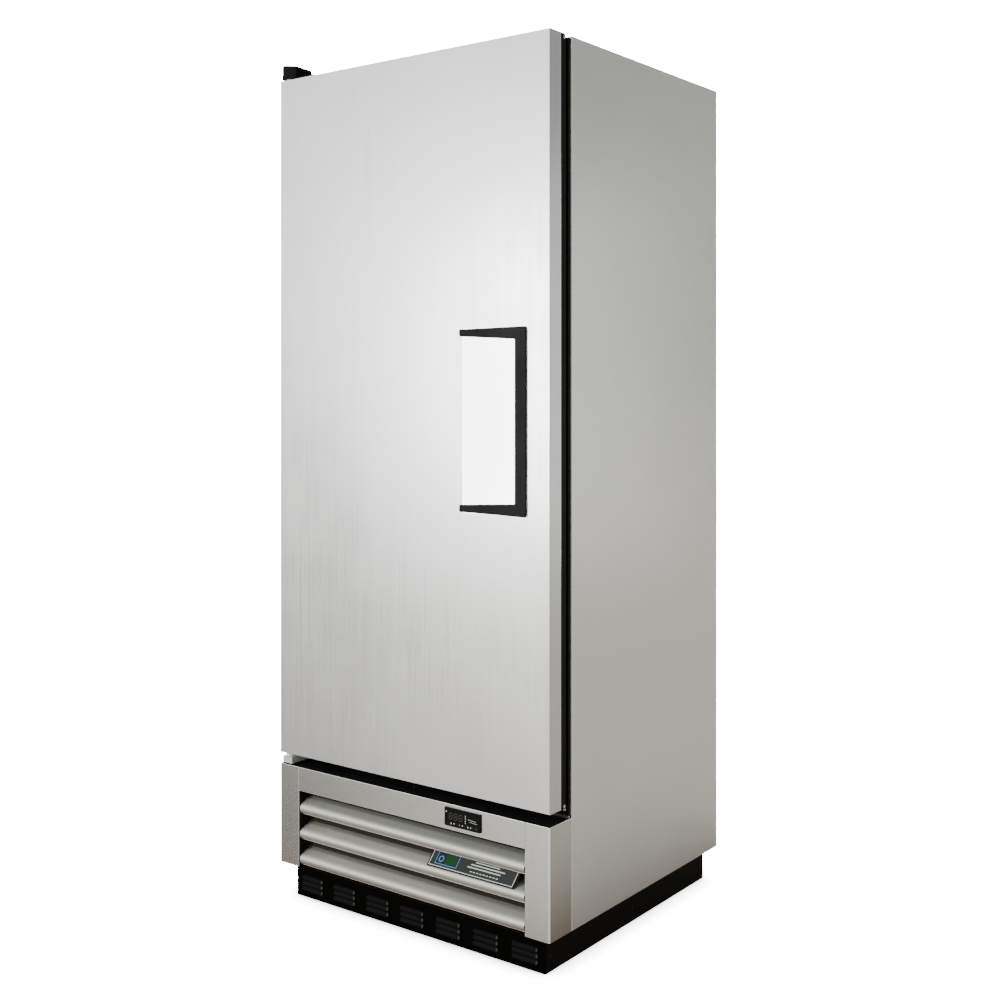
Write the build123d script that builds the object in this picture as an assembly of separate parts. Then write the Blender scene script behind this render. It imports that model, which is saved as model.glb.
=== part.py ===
from build123d import *
import os

# A one-door upright refrigerator: a hinged door above a louvered machine compartment on a plinth.
# Millimetres. X runs to the right as seen from the front, Y from front to back, Z up from the floor.
# The functions below measure Y from the door's front face; write_part moves each piece into the
# part's own frame, whose origin is the middle of the footprint on the floor.

# Overall sizes
WIDTH = 632
BODY_DEPTH = 588
HEIGHT = 1574
HANDLE_PROUD = 4
BUMPER_DEPTH = 26
HALF = WIDTH / 2
DOOR_FACE_Y = (HANDLE_PROUD - BODY_DEPTH - BUMPER_DEPTH) / 2
SHEET = 1
GAP = 0.2

# Plinth
PLINTH_TOP = 65
PLINTH_HALF = 292.35
PLINTH_FRONT = 22.3
PLINTH_BACK = 574.6
PLINTH_SHEET = 1.5
HOOD_WIDTH = 53
HOOD_HEIGHT = 7
HOOD_PROUD = 3.5
HOOD_GROUPS = 7
HOOD_GROUP_PITCH = 83.4
HOODS_PER_GROUP = 3
HOOD_PITCH = 10.5
HOOD_MIDDLE_Z = 27

# Louvered front of the machine compartment
GRILLE_TOP = 255.5
LEDGE_TOP = 255
LEDGE_SHEET = 1.5
GRILLE_BACK = 65.5
POST_INNER = 266
GRILLE_SHEET = 1.2
HEADER_HALF = 265
HEADER_BOTTOM = 211
LOUVER_HALF = 263.5
LOUVER_COUNT = 3
LOUVER_PITCH = 48.6
LOUVER_STEPS = 14

# Digital controller in the header
CONTROLLER_LEFT = 94.5
CONTROLLER_RIGHT = 174.7
CONTROLLER_BOTTOM = 218
CONTROLLER_TOP = 250.7
CONTROLLER_PROUD = 2.5
CONTROLLER_DEPTH = 45
BUTTON_COUNT = 4
BUTTON_PITCH = 18.5
BUTTON_WIDTH = 14
BUTTON_HEIGHT = 6
BUTTON_Z = 223.7
BUTTON_CLEARANCE = 0.3

# Badge plate on the second louver, a leaning parallelogram
BADGE_LEFT = 49.5
BADGE_WIDTH = 190
BADGE_BOTTOM = 136.7
BADGE_FRONT = 3
BADGE_HEIGHT = 30
BADGE_LEAN = 10
BADGE_TILT = 19

# Cabinet
SEAM = 66
FRAME_FRONT = 60
FRAME_OUTER = 313
FRAME_BOTTOM = 260
FRAME_TOP = 1571
CAVITY_HALF = 268
CAVITY_BACK = 537
CAVITY_FLOOR = 312
CAVITY_TOP = 1520
FOLD = 13
MACHINE_TOP = 262

# Door
DOOR_BOTTOM = 277
SKIN_DEPTH = 33
DOOR_BACK = 48
CHANNEL_WIDTH = 16
GASKET_HALF = 302
GASKET_WIDTH = 18
GASKET_BOTTOM = 288
GASKET_TOP = 1562
GASKET_BACK = FRAME_FRONT - 0.3

# Hinges: one vertical axis through both pins
HINGE_X = -302
HINGE_Y = 14
PIN_RADIUS = 5
PIN_CLEARANCE = 0.05
PIN_LENGTH = 30
BUSH_RADIUS = 7
BUSH_FLANGE_RADIUS = 9
LOWER_BRACKET_TOP = 270
UPPER_BRACKET_BOTTOM = 1577
COVER_TOP = 1603
COVER_LEFT = -314.5
COVER_RIGHT = -275
COVER_FRONT = 4
COVER_BACK = 47
COVER_WALL = 2

# Recessed handle
POCKET_LEFT = 133
POCKET_RIGHT = 270
POCKET_BOTTOM = 764.5
POCKET_TOP = 1084
POCKET_DEPTH = 30
GRIP_LEFT = 247
GRIP_BACK = 9
ARM_LEFT = 128
ARM_TIP_TOP = 1082
ARM_TIP_HEIGHT = 12
ARM_ROOT_HEIGHT = 21

# Shelves
SHELF_LEVELS = (583, 853, 1123)
SHELF_HALF = 254
SHELF_FRONT = 86
SHELF_BACK = 520
SHELF_BAR = 6
SHELF_WIRE = 3.4
SHELF_WIRE_COUNT = 27
PILASTER_YS = (118, 486)
PILASTER_SLOT_PITCH = 25.4

# Fans: place of the hub, blade radius and hub length
CONDENSER_FAN = (-110, 122, 157)
CONDENSER_FAN_RADIUS = 66
EVAPORATOR_FAN = (0, 322, 1460)
EVAPORATOR_FAN_RADIUS = 50
SHAFT_RADIUS = 3
HUB_LENGTH = 20


def block(x0, x1, y0, y1, z0, z1):
    """A box between two corners."""
    return Pos((x0 + x1) / 2, (y0 + y1) / 2, (z0 + z1) / 2) * Box(x1 - x0, y1 - y0, z1 - z0)


def rod_x(x0, x1, y, z, radius):
    """A round bar along X."""
    return Pos((x0 + x1) / 2, y, z) * Rot(0, 90, 0) * Cylinder(radius, x1 - x0)


def rod_y(x, y0, y1, z, radius):
    """A round bar along Y."""
    return Pos(x, (y0 + y1) / 2, z) * Rot(90, 0, 0) * Cylinder(radius, y1 - y0)


def rod_z(x, y, z0, z1, radius):
    """A round bar along Z."""
    return Pos(x, y, (z0 + z1) / 2) * Cylinder(radius, z1 - z0)


def group(solids):
    """Separate solids that belong to one node."""
    return Compound(children=list(solids))


def plan_prism(points, z0, z1):
    """A prism whose outline is drawn in plan, as X and Y."""
    outline = make_face(Polyline(*points, close=True))
    return Pos(0, 0, z0) * extrude(outline, z1 - z0)


def front_prism(points, y0, y1):
    """A prism whose outline is drawn from the front, as X and Z."""
    outline = make_face(Polyline(*[(x, y0, z) for x, z in points], close=True))
    return extrude(outline, y1 - y0, dir=(0, 1, 0))


# ---- cabinet shell ----

def side_panel(side):
    """A steel side with its front and rear edges folded inwards."""
    panel = block(HALF - SHEET, HALF, SEAM, BODY_DEPTH, PLINTH_TOP, HEIGHT)
    fold_top = HEIGHT - FOLD - 4
    panel += block(HALF - FOLD, HALF - SHEET, SEAM, SEAM + SHEET, FRAME_BOTTOM, fold_top)
    panel += block(HALF - FOLD, HALF - SHEET, BODY_DEPTH - SHEET, BODY_DEPTH, PLINTH_TOP + 4, fold_top)
    return panel if side > 0 else mirror(panel, Plane.YZ)


def top_panel():
    """The roof sheet, folded down at its front and rear edges."""
    half = HALF - SHEET - GAP
    panel = block(-half, half, SEAM, BODY_DEPTH, HEIGHT - SHEET, HEIGHT)
    panel += block(-half, half, SEAM, SEAM + SHEET, HEIGHT - FOLD, HEIGHT - SHEET)
    panel += block(-half, half, BODY_DEPTH - SHEET, BODY_DEPTH, HEIGHT - FOLD, HEIGHT - SHEET)
    return panel


def back_panel():
    """The flat back sheet between the folds of the side panels."""
    half = HALF - FOLD - GAP
    return block(-half, half, BODY_DEPTH - SHEET, BODY_DEPTH, MACHINE_TOP, HEIGHT - FOLD - GAP)


def base_pan():
    """The floor of the machine compartment."""
    half = HALF - SHEET - GAP
    return block(-half, half, 2, BODY_DEPTH - 2, PLINTH_TOP, PLINTH_TOP + 2)


def cabinet_insulation():
    """Foam slabs between the liner and the outer sheets."""
    inner = CAVITY_HALF + SHEET + GAP
    outer = HALF - SHEET - GAP
    front = SEAM + SHEET + GAP
    back = BODY_DEPTH - SHEET - GAP
    top = HEIGHT - SHEET - GAP
    liner_back = CAVITY_BACK + SHEET + GAP
    slabs = [
        block(-outer, -inner, front, back, MACHINE_TOP, top),
        block(inner, outer, front, back, MACHINE_TOP, top),
        block(-inner + GAP, inner - GAP, front, back, MACHINE_TOP, CAVITY_FLOOR - SHEET - GAP),
        block(-inner + GAP, inner - GAP, front, back, CAVITY_TOP + SHEET + GAP, top),
        block(-inner + GAP, inner - GAP, liner_back, back, CAVITY_FLOOR - SHEET, CAVITY_TOP + SHEET),
    ]
    return group(slabs)


def inner_liner():
    """The sheets that line the cold compartment: two sides, back, ceiling and floor."""
    front = SEAM + GAP
    sheets = [
        block(-CAVITY_HALF - SHEET, -CAVITY_HALF, front, CAVITY_BACK, CAVITY_FLOOR, CAVITY_TOP),
        block(CAVITY_HALF, CAVITY_HALF + SHEET, front, CAVITY_BACK, CAVITY_FLOOR, CAVITY_TOP),
        block(-CAVITY_HALF, CAVITY_HALF, CAVITY_BACK, CAVITY_BACK + SHEET, CAVITY_FLOOR, CAVITY_TOP),
        block(-CAVITY_HALF, CAVITY_HALF, front, CAVITY_BACK, CAVITY_TOP, CAVITY_TOP + SHEET),
        block(-CAVITY_HALF, CAVITY_HALF, front, CAVITY_BACK, CAVITY_FLOOR - SHEET, CAVITY_FLOOR),
    ]
    return group(sheets)


def front_frame():
    """The black breaker strips round the door opening."""
    strips = [
        block(-FRAME_OUTER, -CAVITY_HALF, FRAME_FRONT, SEAM, FRAME_BOTTOM, FRAME_TOP),
        block(CAVITY_HALF, FRAME_OUTER, FRAME_FRONT, SEAM, FRAME_BOTTOM, FRAME_TOP),
        block(-CAVITY_HALF, CAVITY_HALF, FRAME_FRONT, SEAM, FRAME_BOTTOM, CAVITY_FLOOR),
        block(-CAVITY_HALF, CAVITY_HALF, FRAME_FRONT, SEAM, CAVITY_TOP, FRAME_TOP),
    ]
    return group(strips)


def sill_trim():
    """The aluminium strip along the back of the ledge."""
    front = FRAME_FRONT + 1
    top = FRAME_BOTTOM - 0.5
    return block(-FRAME_OUTER, FRAME_OUTER, front, GRILLE_BACK, LEDGE_TOP + GAP, top)


def rear_bumpers():
    """Four spacers that keep the back clear of a wall."""
    solids = []
    for x in (-200, 200):
        for z in (330, 1480):
            spacer = block(x - 25, x + 25, BODY_DEPTH, BODY_DEPTH + BUMPER_DEPTH, z - 30, z + 30)
            solids.append(fillet(spacer.faces().sort_by(Axis.Y)[-1].edges(), 5))
    return group(solids)


# ---- plinth ----

def kick_plate():
    """The plinth's front, pressed into rows of hooded slots."""
    front = PLINTH_FRONT
    top = PLINTH_TOP - GAP
    plate = block(-PLINTH_HALF, PLINTH_HALF, front, front + PLINTH_SHEET, 0, top)
    plate += block(-PLINTH_HALF + 22, PLINTH_HALF - 22, front + PLINTH_SHEET, front + 18, 0, PLINTH_SHEET)
    hood_plane = Plane(origin=(0, front, 0), x_dir=(1, 0, 0), z_dir=(0, -1, 0))
    hood_outline = SlotOverall(HOOD_WIDTH, HOOD_HEIGHT)
    mouth_outline = SlotOverall(HOOD_WIDTH - 4, HOOD_HEIGHT - 4)
    for group_index in range(HOOD_GROUPS):
        x = (group_index - (HOOD_GROUPS - 1) / 2) * HOOD_GROUP_PITCH
        for row in range(HOODS_PER_GROUP):
            z = HOOD_MIDDLE_Z + (row - (HOODS_PER_GROUP - 1) / 2) * HOOD_PITCH
            hood = extrude(hood_plane * Pos(x, z) * hood_outline, HOOD_PROUD)
            hood = fillet(hood.faces().sort_by(Axis.Y)[0].edges(), 2.5)
            plate += hood
            plate -= extrude(hood_plane * Pos(x, z - 1) * mouth_outline, HOOD_PROUD - 1.5, both=True)
    return plate


def plinth_sides():
    """The plinth's two sides and its rear rail, each with a flange on the floor."""
    front = PLINTH_FRONT + PLINTH_SHEET + GAP
    top = PLINTH_TOP - GAP
    side = block(PLINTH_HALF - PLINTH_SHEET, PLINTH_HALF, front, PLINTH_BACK, 0, top)
    side += block(PLINTH_HALF - 20, PLINTH_HALF - PLINTH_SHEET, front, PLINTH_BACK - 22, 0, PLINTH_SHEET)
    half = PLINTH_HALF - PLINTH_SHEET - GAP
    rail = block(-half, half, PLINTH_BACK - PLINTH_SHEET, PLINTH_BACK, 0, top)
    rail += block(-half, half, PLINTH_BACK - 20, PLINTH_BACK - PLINTH_SHEET, 0, PLINTH_SHEET)
    return group([side, mirror(side, Plane.YZ), rail])


# ---- louvered front ----

def grille_post(side):
    """A folded corner post: front, outer side and a short inner return."""
    post = block(POST_INNER, HALF, 0, GRILLE_SHEET, PLINTH_TOP, GRILLE_TOP)
    post += block(HALF - GRILLE_SHEET, HALF, 0, GRILLE_BACK, PLINTH_TOP, GRILLE_TOP)
    inner_top = LEDGE_TOP - LEDGE_SHEET - GAP
    post += block(POST_INNER, POST_INNER + GRILLE_SHEET, 0, 26, PLINTH_TOP + 2.5, inner_top)
    return post if side > 0 else mirror(post, Plane.YZ)


def controller_hole():
    """The rectangular hole that the controller snaps into."""
    return block(CONTROLLER_LEFT + 3, CONTROLLER_RIGHT - 3, -5, 5, CONTROLLER_BOTTOM + 2, CONTROLLER_TOP - 2)


def grille_header():
    """The plain strip above the louvers, with a return along its foot."""
    header = block(-HEADER_HALF, HEADER_HALF, 0, GRILLE_SHEET, HEADER_BOTTOM, GRILLE_TOP)
    header += block(-HEADER_HALF, HEADER_HALF, 0, 24, HEADER_BOTTOM, HEADER_BOTTOM + GRILLE_SHEET)
    return header - controller_hole()


def grille_louver(index):
    """A louver blade of S section: a long slope down from the back, a round nose, and a lip turned in."""
    drop = index * LOUVER_PITCH
    slope = [(31, 202), (26.5, 195), (18.5, 191), (9, 187.3), (2.6, 182.8)]
    nose = [(0.5, 177.3), (1.7, 171.6), (5.5, 167.6), (10, 166.4), (17, 166.2)]
    outer = Spline(*[(-LOUVER_HALF, y, z - drop) for y, z in slope + nose])
    inner_points = []
    for step in range(LOUVER_STEPS + 1):
        place = outer @ (step / LOUVER_STEPS)
        along = (outer % (step / LOUVER_STEPS)) * GRILLE_SHEET
        inner_points.append((place.X, place.Y - along.Z, place.Z + along.Y))
    inner = Spline(*inner_points)
    edges = [outer, Line(outer @ 1, inner @ 1), inner, Line(inner @ 0, outer @ 0)]
    return extrude(make_face(edges), 2 * LOUVER_HALF, dir=(1, 0, 0))


def grille_ledge():
    """The black shelf that closes the top of the louvered front."""
    half = HALF - GRILLE_SHEET - GAP
    return block(-half, half, GRILLE_SHEET + 0.3, GRILLE_BACK, LEDGE_TOP - LEDGE_SHEET, LEDGE_TOP)


def badge_plate():
    """A leaning parallelogram plate that stands on the second louver and tilts back under the first."""
    outline = [
        (BADGE_LEFT, 0),
        (BADGE_LEFT + BADGE_WIDTH, 0),
        (BADGE_LEFT + BADGE_WIDTH + BADGE_LEAN, BADGE_HEIGHT),
        (BADGE_LEFT + BADGE_LEAN, BADGE_HEIGHT),
    ]
    plate = front_prism(outline, 0, 1.2)
    return Pos(0, BADGE_FRONT, BADGE_BOTTOM) * Rot(-BADGE_TILT, 0, 0) * plate


# ---- controller ----

def button_x(index):
    """The middle of a controller button."""
    middle = (CONTROLLER_LEFT + CONTROLLER_RIGHT) / 2
    return middle + (index - (BUTTON_COUNT - 1) / 2) * BUTTON_PITCH


def button_hole(index):
    """The well that a button slides in."""
    half_width = BUTTON_WIDTH / 2 + BUTTON_CLEARANCE
    half_height = BUTTON_HEIGHT / 2 + BUTTON_CLEARANCE
    x = button_x(index)
    return block(x - half_width, x + half_width, -5, 3.5, BUTTON_Z - half_height, BUTTON_Z + half_height)


def controller_bezel():
    """The controller's case: a rounded front and a body behind the header."""
    left, right = CONTROLLER_LEFT, CONTROLLER_RIGHT
    bottom, top = CONTROLLER_BOTTOM, CONTROLLER_TOP
    bezel = block(left, right, -CONTROLLER_PROUD, 0, bottom, top)
    bezel = fillet(bezel.edges().filter_by(Axis.Y), 3)
    bezel = fillet(bezel.faces().sort_by(Axis.Y)[0].edges(), 1)
    bezel += block(left + 3.2, right - 3.2, 0, CONTROLLER_DEPTH, bottom + 2.2, top - 2.2)
    bezel -= block(left + 3, right - 3, -CONTROLLER_PROUD - 1, -CONTROLLER_PROUD + 1, BUTTON_Z + 5, top - 3)
    for index in range(BUTTON_COUNT):
        bezel -= button_hole(index)
    return bezel


def controller_display():
    """The dark window over the digits."""
    front = -CONTROLLER_PROUD - 0.1
    left = CONTROLLER_LEFT + 3.1
    right = CONTROLLER_RIGHT - 3.1
    return block(left, right, front, -CONTROLLER_PROUD + 0.9, BUTTON_Z + 5.1, CONTROLLER_TOP - 3.1)


def controller_button(index):
    """A small key that travels less than a millimetre."""
    x = button_x(index)
    half_width = BUTTON_WIDTH / 2
    half_height = BUTTON_HEIGHT / 2
    front = -CONTROLLER_PROUD - 0.5
    key = block(x - half_width, x + half_width, front, 2.3, BUTTON_Z - half_height, BUTTON_Z + half_height)
    return fillet(key.faces().sort_by(Axis.Y)[0].edges(), 0.4)


# ---- hinges ----

def bottom_hinge_bracket():
    """A bracket under the door's corner with its pin standing up."""
    bracket = block(HINGE_X - 9, HINGE_X + 15, 2, FRAME_FRONT, 258, LOWER_BRACKET_TOP)
    bracket += block(HINGE_X - 9, HINGE_X + 40, FRAME_FRONT - 4, FRAME_FRONT, 260, 275)
    bracket += rod_z(HINGE_X, HINGE_Y, LOWER_BRACKET_TOP - 2, LOWER_BRACKET_TOP + 5 + PIN_LENGTH, PIN_RADIUS)
    return bracket


def top_hinge_bracket():
    """A plate on the roof that reaches over the door, with its pin pointing down."""
    bottom = UPPER_BRACKET_BOTTOM
    bracket = block(HINGE_X - 9, -242, HINGE_Y - 7, 140, bottom, bottom + 3)
    bracket += block(HINGE_X - 9, -242, SEAM + 4, 140, HEIGHT, bottom)
    bracket += rod_z(HINGE_X, HINGE_Y, bottom - 3 - PIN_LENGTH, bottom, PIN_RADIUS)
    return bracket


def top_hinge_cover():
    """The moulded cap over the top pin, notched where the hinge plate leaves it."""
    bottom = UPPER_BRACKET_BOTTOM
    outer = block(COVER_LEFT, COVER_RIGHT, COVER_FRONT, COVER_BACK, bottom, COVER_TOP)
    outer = fillet(outer.edges().filter_by(Axis.Z), 5)
    outer = fillet(outer.faces().sort_by(Axis.Z)[-1].edges(), 2)
    wall = COVER_WALL
    cavity = block(COVER_LEFT + wall, COVER_RIGHT - wall, COVER_FRONT + wall, COVER_BACK - wall,
                   bottom, COVER_TOP - wall)
    notch = block(COVER_LEFT + wall, COVER_RIGHT, COVER_FRONT + wall, COVER_BACK, bottom, bottom + 3 + GAP)
    return outer - cavity - notch


def door_bushings():
    """Two flanged nylon bushings pressed into the door's ends."""
    lower = rod_z(HINGE_X, HINGE_Y, LOWER_BRACKET_TOP + 0.3, DOOR_BOTTOM, BUSH_FLANGE_RADIUS)
    lower += rod_z(HINGE_X, HINGE_Y, DOOR_BOTTOM, DOOR_BOTTOM + PIN_LENGTH, BUSH_RADIUS)
    upper = rod_z(HINGE_X, HINGE_Y, HEIGHT, UPPER_BRACKET_BOTTOM - 0.3, BUSH_FLANGE_RADIUS)
    upper += rod_z(HINGE_X, HINGE_Y, HEIGHT - PIN_LENGTH, HEIGHT, BUSH_RADIUS)
    bore = rod_z(HINGE_X, HINGE_Y, 0, HEIGHT + 20, PIN_RADIUS + PIN_CLEARANCE)
    return group([lower - bore, upper - bore])


def bushing_holes():
    """Room for both bushings in the door."""
    lower = rod_z(HINGE_X, HINGE_Y, DOOR_BOTTOM - 1, DOOR_BOTTOM + PIN_LENGTH + 1, BUSH_RADIUS + GAP)
    upper = rod_z(HINGE_X, HINGE_Y, HEIGHT - PIN_LENGTH - 1, HEIGHT + 1, BUSH_RADIUS + GAP)
    return lower + upper


# ---- door ----

def door_skin():
    """The stainless pan that wraps the door's face and edges."""
    skin = block(-HALF, HALF, 0, SKIN_DEPTH, DOOR_BOTTOM, HEIGHT)
    skin = fillet(skin.faces().sort_by(Axis.Y)[0].edges(), 0.8)
    inner = HALF - SHEET
    skin -= block(-inner, inner, SHEET, SKIN_DEPTH + 1, DOOR_BOTTOM + SHEET, HEIGHT - SHEET)
    skin -= block(POCKET_LEFT, POCKET_RIGHT, -1, 2, POCKET_BOTTOM, POCKET_TOP)
    return skin - bushing_holes()


def door_insulation():
    """The door's foam core, hollowed behind the handle."""
    half = HALF - SHEET - GAP
    bottom = DOOR_BOTTOM + SHEET + GAP
    core = block(-half, half, SHEET + GAP, SKIN_DEPTH - GAP, bottom, HEIGHT - SHEET - GAP)
    inner = HALF - CHANNEL_WIDTH - GAP
    low = DOOR_BOTTOM + CHANNEL_WIDTH + GAP
    core += block(-inner, inner, SKIN_DEPTH - GAP, DOOR_BACK - 1.4, low, HEIGHT - CHANNEL_WIDTH - GAP)
    core -= block(POCKET_LEFT, POCKET_RIGHT, 0, POCKET_DEPTH + GAP, POCKET_BOTTOM, POCKET_TOP)
    return core - bushing_holes()


def door_channel():
    """Four black channel strips behind the stainless pan."""
    front = SKIN_DEPTH + 0.1
    inner = HALF - CHANNEL_WIDTH
    right = block(inner, HALF, front, DOOR_BACK, DOOR_BOTTOM, HEIGHT)
    right = chamfer(right.edges().filter_by(Axis.X).group_by(Axis.Y)[-1], 3)
    for z in (DOOR_BOTTOM + 3.5, HEIGHT - 6):
        right -= rod_x(HALF - 2, HALF + 1, 44, z, 3 + 0.1)
    strips = [
        right,
        mirror(right, Plane.YZ),
        block(-inner, inner, front, DOOR_BACK, DOOR_BOTTOM, DOOR_BOTTOM + CHANNEL_WIDTH),
        block(-inner, inner, front, DOOR_BACK, HEIGHT - CHANNEL_WIDTH, HEIGHT),
    ]
    return group(strips)


def door_liner():
    """The inner door sheet, with a shallow raised field."""
    half = HALF - CHANNEL_WIDTH - GAP
    low = DOOR_BOTTOM + CHANNEL_WIDTH + GAP
    top = HEIGHT - CHANNEL_WIDTH - GAP
    liner = block(-half, half, DOOR_BACK - 1.2, DOOR_BACK, low, top)
    field = block(-half + 45, half - 45, DOOR_BACK, DOOR_BACK + 4, low + 45, top - 45)
    return liner + chamfer(field.faces().sort_by(Axis.Y)[-1].edges(), 3)


def door_gasket():
    """The magnetic gasket as four strips, just clear of the breaker strips."""
    front = DOOR_BACK + 0.1
    inner = GASKET_HALF - GASKET_WIDTH
    strips = [
        block(-GASKET_HALF, -inner, front, GASKET_BACK, GASKET_BOTTOM, GASKET_TOP),
        block(inner, GASKET_HALF, front, GASKET_BACK, GASKET_BOTTOM, GASKET_TOP),
        block(-inner, inner, front, GASKET_BACK, GASKET_BOTTOM, GASKET_BOTTOM + GASKET_WIDTH),
        block(-inner, inner, front, GASKET_BACK, GASKET_TOP - GASKET_WIDTH, GASKET_TOP),
    ]
    return group(strips)


def handle_pocket():
    """The white finger pocket: its floor slopes from flush at the left to full depth at the right."""
    left = POCKET_LEFT + GAP
    right = POCKET_RIGHT - GAP
    slope_end = right - 34
    wall = 1.6
    outer = [(left, 0), (right, 0), (right, POCKET_DEPTH), (slope_end, POCKET_DEPTH), (left, 3)]
    inner = [
        (left + wall, -1),
        (right - wall, -1),
        (right - wall, POCKET_DEPTH - wall),
        (slope_end + 1, POCKET_DEPTH - wall),
        (left + wall, 1.2),
    ]
    shell = plan_prism(outer, POCKET_BOTTOM + GAP, POCKET_TOP - GAP)
    return shell - plan_prism(inner, POCKET_BOTTOM + GAP + wall, POCKET_TOP - GAP - wall)


def handle_bezel():
    """The black C-shaped grip: a deep bar on the right and two arms that taper to the left."""
    middle = (POCKET_TOP + POCKET_BOTTOM) / 2
    outline = [
        (ARM_LEFT, ARM_TIP_TOP),
        (ARM_LEFT, ARM_TIP_TOP - ARM_TIP_HEIGHT),
        (GRIP_LEFT, POCKET_TOP - ARM_ROOT_HEIGHT),
        (GRIP_LEFT, 2 * middle - POCKET_TOP + ARM_ROOT_HEIGHT),
        (ARM_LEFT, 2 * middle - ARM_TIP_TOP + ARM_TIP_HEIGHT),
        (ARM_LEFT, 2 * middle - ARM_TIP_TOP),
        (POCKET_RIGHT, POCKET_BOTTOM),
        (POCKET_RIGHT, POCKET_TOP),
    ]
    plate = front_prism(outline, -HANDLE_PROUD, -0.05)
    plate = fillet(plate.edges().filter_by(Axis.Y), 3)
    plate = fillet(plate.faces().sort_by(Axis.Y)[0].edges(), 1.2)
    bar = block(GRIP_LEFT, POCKET_RIGHT - 2.2, -1, GRIP_BACK, POCKET_BOTTOM + 3, POCKET_TOP - 3)
    bar = fillet(bar.faces().sort_by(Axis.Y)[-1].edges().filter_by(Axis.Z), 5)
    return plate + bar


# ---- inside the cold compartment ----

def shelf_pilasters():
    """Four slotted uprights on the liner's sides."""
    upright = block(CAVITY_HALF - 3.2, CAVITY_HALF - GAP, -8, 8, CAVITY_FLOOR + 20, 1380)
    slot = block(CAVITY_HALF - 4, CAVITY_HALF - 1.6, -5, 5, 0, 8)
    for index in range(40):
        upright -= Pos(0, 0, CAVITY_FLOOR + 35 + index * PILASTER_SLOT_PITCH) * slot
    return group([
        Pos(0, y, 0) * (upright if side > 0 else mirror(upright, Plane.YZ))
        for side in (-1, 1)
        for y in PILASTER_YS
    ])


def shelf_clips():
    """Four clips under each shelf, hooked on the uprights."""
    face = CAVITY_HALF - 3.2 - GAP
    solids = []
    for level in SHELF_LEVELS:
        for y in PILASTER_YS:
            clip = block(SHELF_HALF - 6, face, y - 6, y + 6, level - 3, level)
            clip += block(face - 2, face, y - 6, y + 6, level - 16, level)
            solids += [clip, mirror(clip, Plane.YZ)]
    return group(solids)


def wire_shelf(level):
    """A wire shelf with square bars: a frame and two cross bars under a row of fine wires."""
    bottom = level + 0.3
    bar_top = bottom + SHELF_BAR
    half = SHELF_BAR / 2
    shelf = block(-SHELF_HALF, SHELF_HALF, SHELF_FRONT - half, SHELF_FRONT + half, bottom, bar_top)
    for y in (SHELF_FRONT + 145, SHELF_BACK - 145, SHELF_BACK):
        shelf += block(-SHELF_HALF, SHELF_HALF, y - half, y + half, bottom, bar_top)
    for x in (-SHELF_HALF, SHELF_HALF):
        shelf += block(x - half, x + half, SHELF_FRONT - half, SHELF_BACK + half, bottom, bar_top)
    pitch = 2 * SHELF_HALF / (SHELF_WIRE_COUNT + 1)
    wire_half = SHELF_WIRE / 2
    for index in range(SHELF_WIRE_COUNT):
        x = -SHELF_HALF + (index + 1) * pitch
        shelf += block(x - wire_half, x + wire_half, SHELF_FRONT - half, SHELF_BACK + half,
                       bar_top, bar_top + SHELF_WIRE)
    return shelf


def light_housing():
    """The white base of the ceiling light, with a well for its rocker switch."""
    housing = block(-140, 200, 84, 136, CAVITY_TOP - 10, CAVITY_TOP - GAP)
    housing = fillet(housing.edges().filter_by(Axis.Z), 6)
    return housing - block(158, 182, 103, 119, CAVITY_TOP - 11, CAVITY_TOP)


def light_lens():
    """The clear shield under the light."""
    lens = block(-130, 130, 92, 128, CAVITY_TOP - 27, CAVITY_TOP - 10 - GAP)
    return fillet(lens.faces().sort_by(Axis.Z)[0].edges(), 7)


def light_switch():
    """The rocker that turns the light on."""
    rocker = block(160, 180, 105, 117, CAVITY_TOP - 13, CAVITY_TOP - 5)
    return fillet(rocker.edges().filter_by(Axis.Y).group_by(Axis.Z)[0], 2)


def evaporator_cover():
    """A sheet box under the ceiling, with a round fan mouth in front and return slots below."""
    cover = block(-235, 235, 300, 534, 1400, CAVITY_TOP - GAP)
    cover -= block(-234, 234, 301, 533, 1401, CAVITY_TOP)
    cover -= rod_y(EVAPORATOR_FAN[0], 299, 302, EVAPORATOR_FAN[2], EVAPORATOR_FAN_RADIUS + 3)
    for index in range(12):
        x = (index - 5.5) * 34
        cover -= block(x - 11, x + 11, 420, 500, 1399, 1402)
    return cover


def coil(x0, x1, y0, y1, z0, z1, rows):
    """A finned coil: a block of fins between end plates, with return bends at one end."""
    body = block(x0 + 2, x1 - 2, y0 + 2, y1 - 2, z0 + 3, z1 - 3)
    body += block(x0, x0 + 2, y0, y1, z0, z1)
    body += block(x1 - 2, x1, y0, y1, z0, z1)
    pitch = (z1 - z0) / rows
    bend = Torus(pitch / 4, 3).split(Plane.YZ)
    for row in range(rows):
        body += Pos(x1 - 0.5, (y0 + y1) / 2, z0 + (row + 0.5) * pitch) * Rot(90, 0, 0) * bend
    return body


def fan_motor(place, back_gap, length, radius, foot):
    """A fan motor behind its blade: a round body, a shaft and a foot."""
    x, y, z = place
    front = y + back_gap
    motor = rod_y(x, front, front + length, z, radius)
    motor += rod_y(x, y - HUB_LENGTH / 2 + 2, front, z, SHAFT_RADIUS)
    return motor + foot


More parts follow.
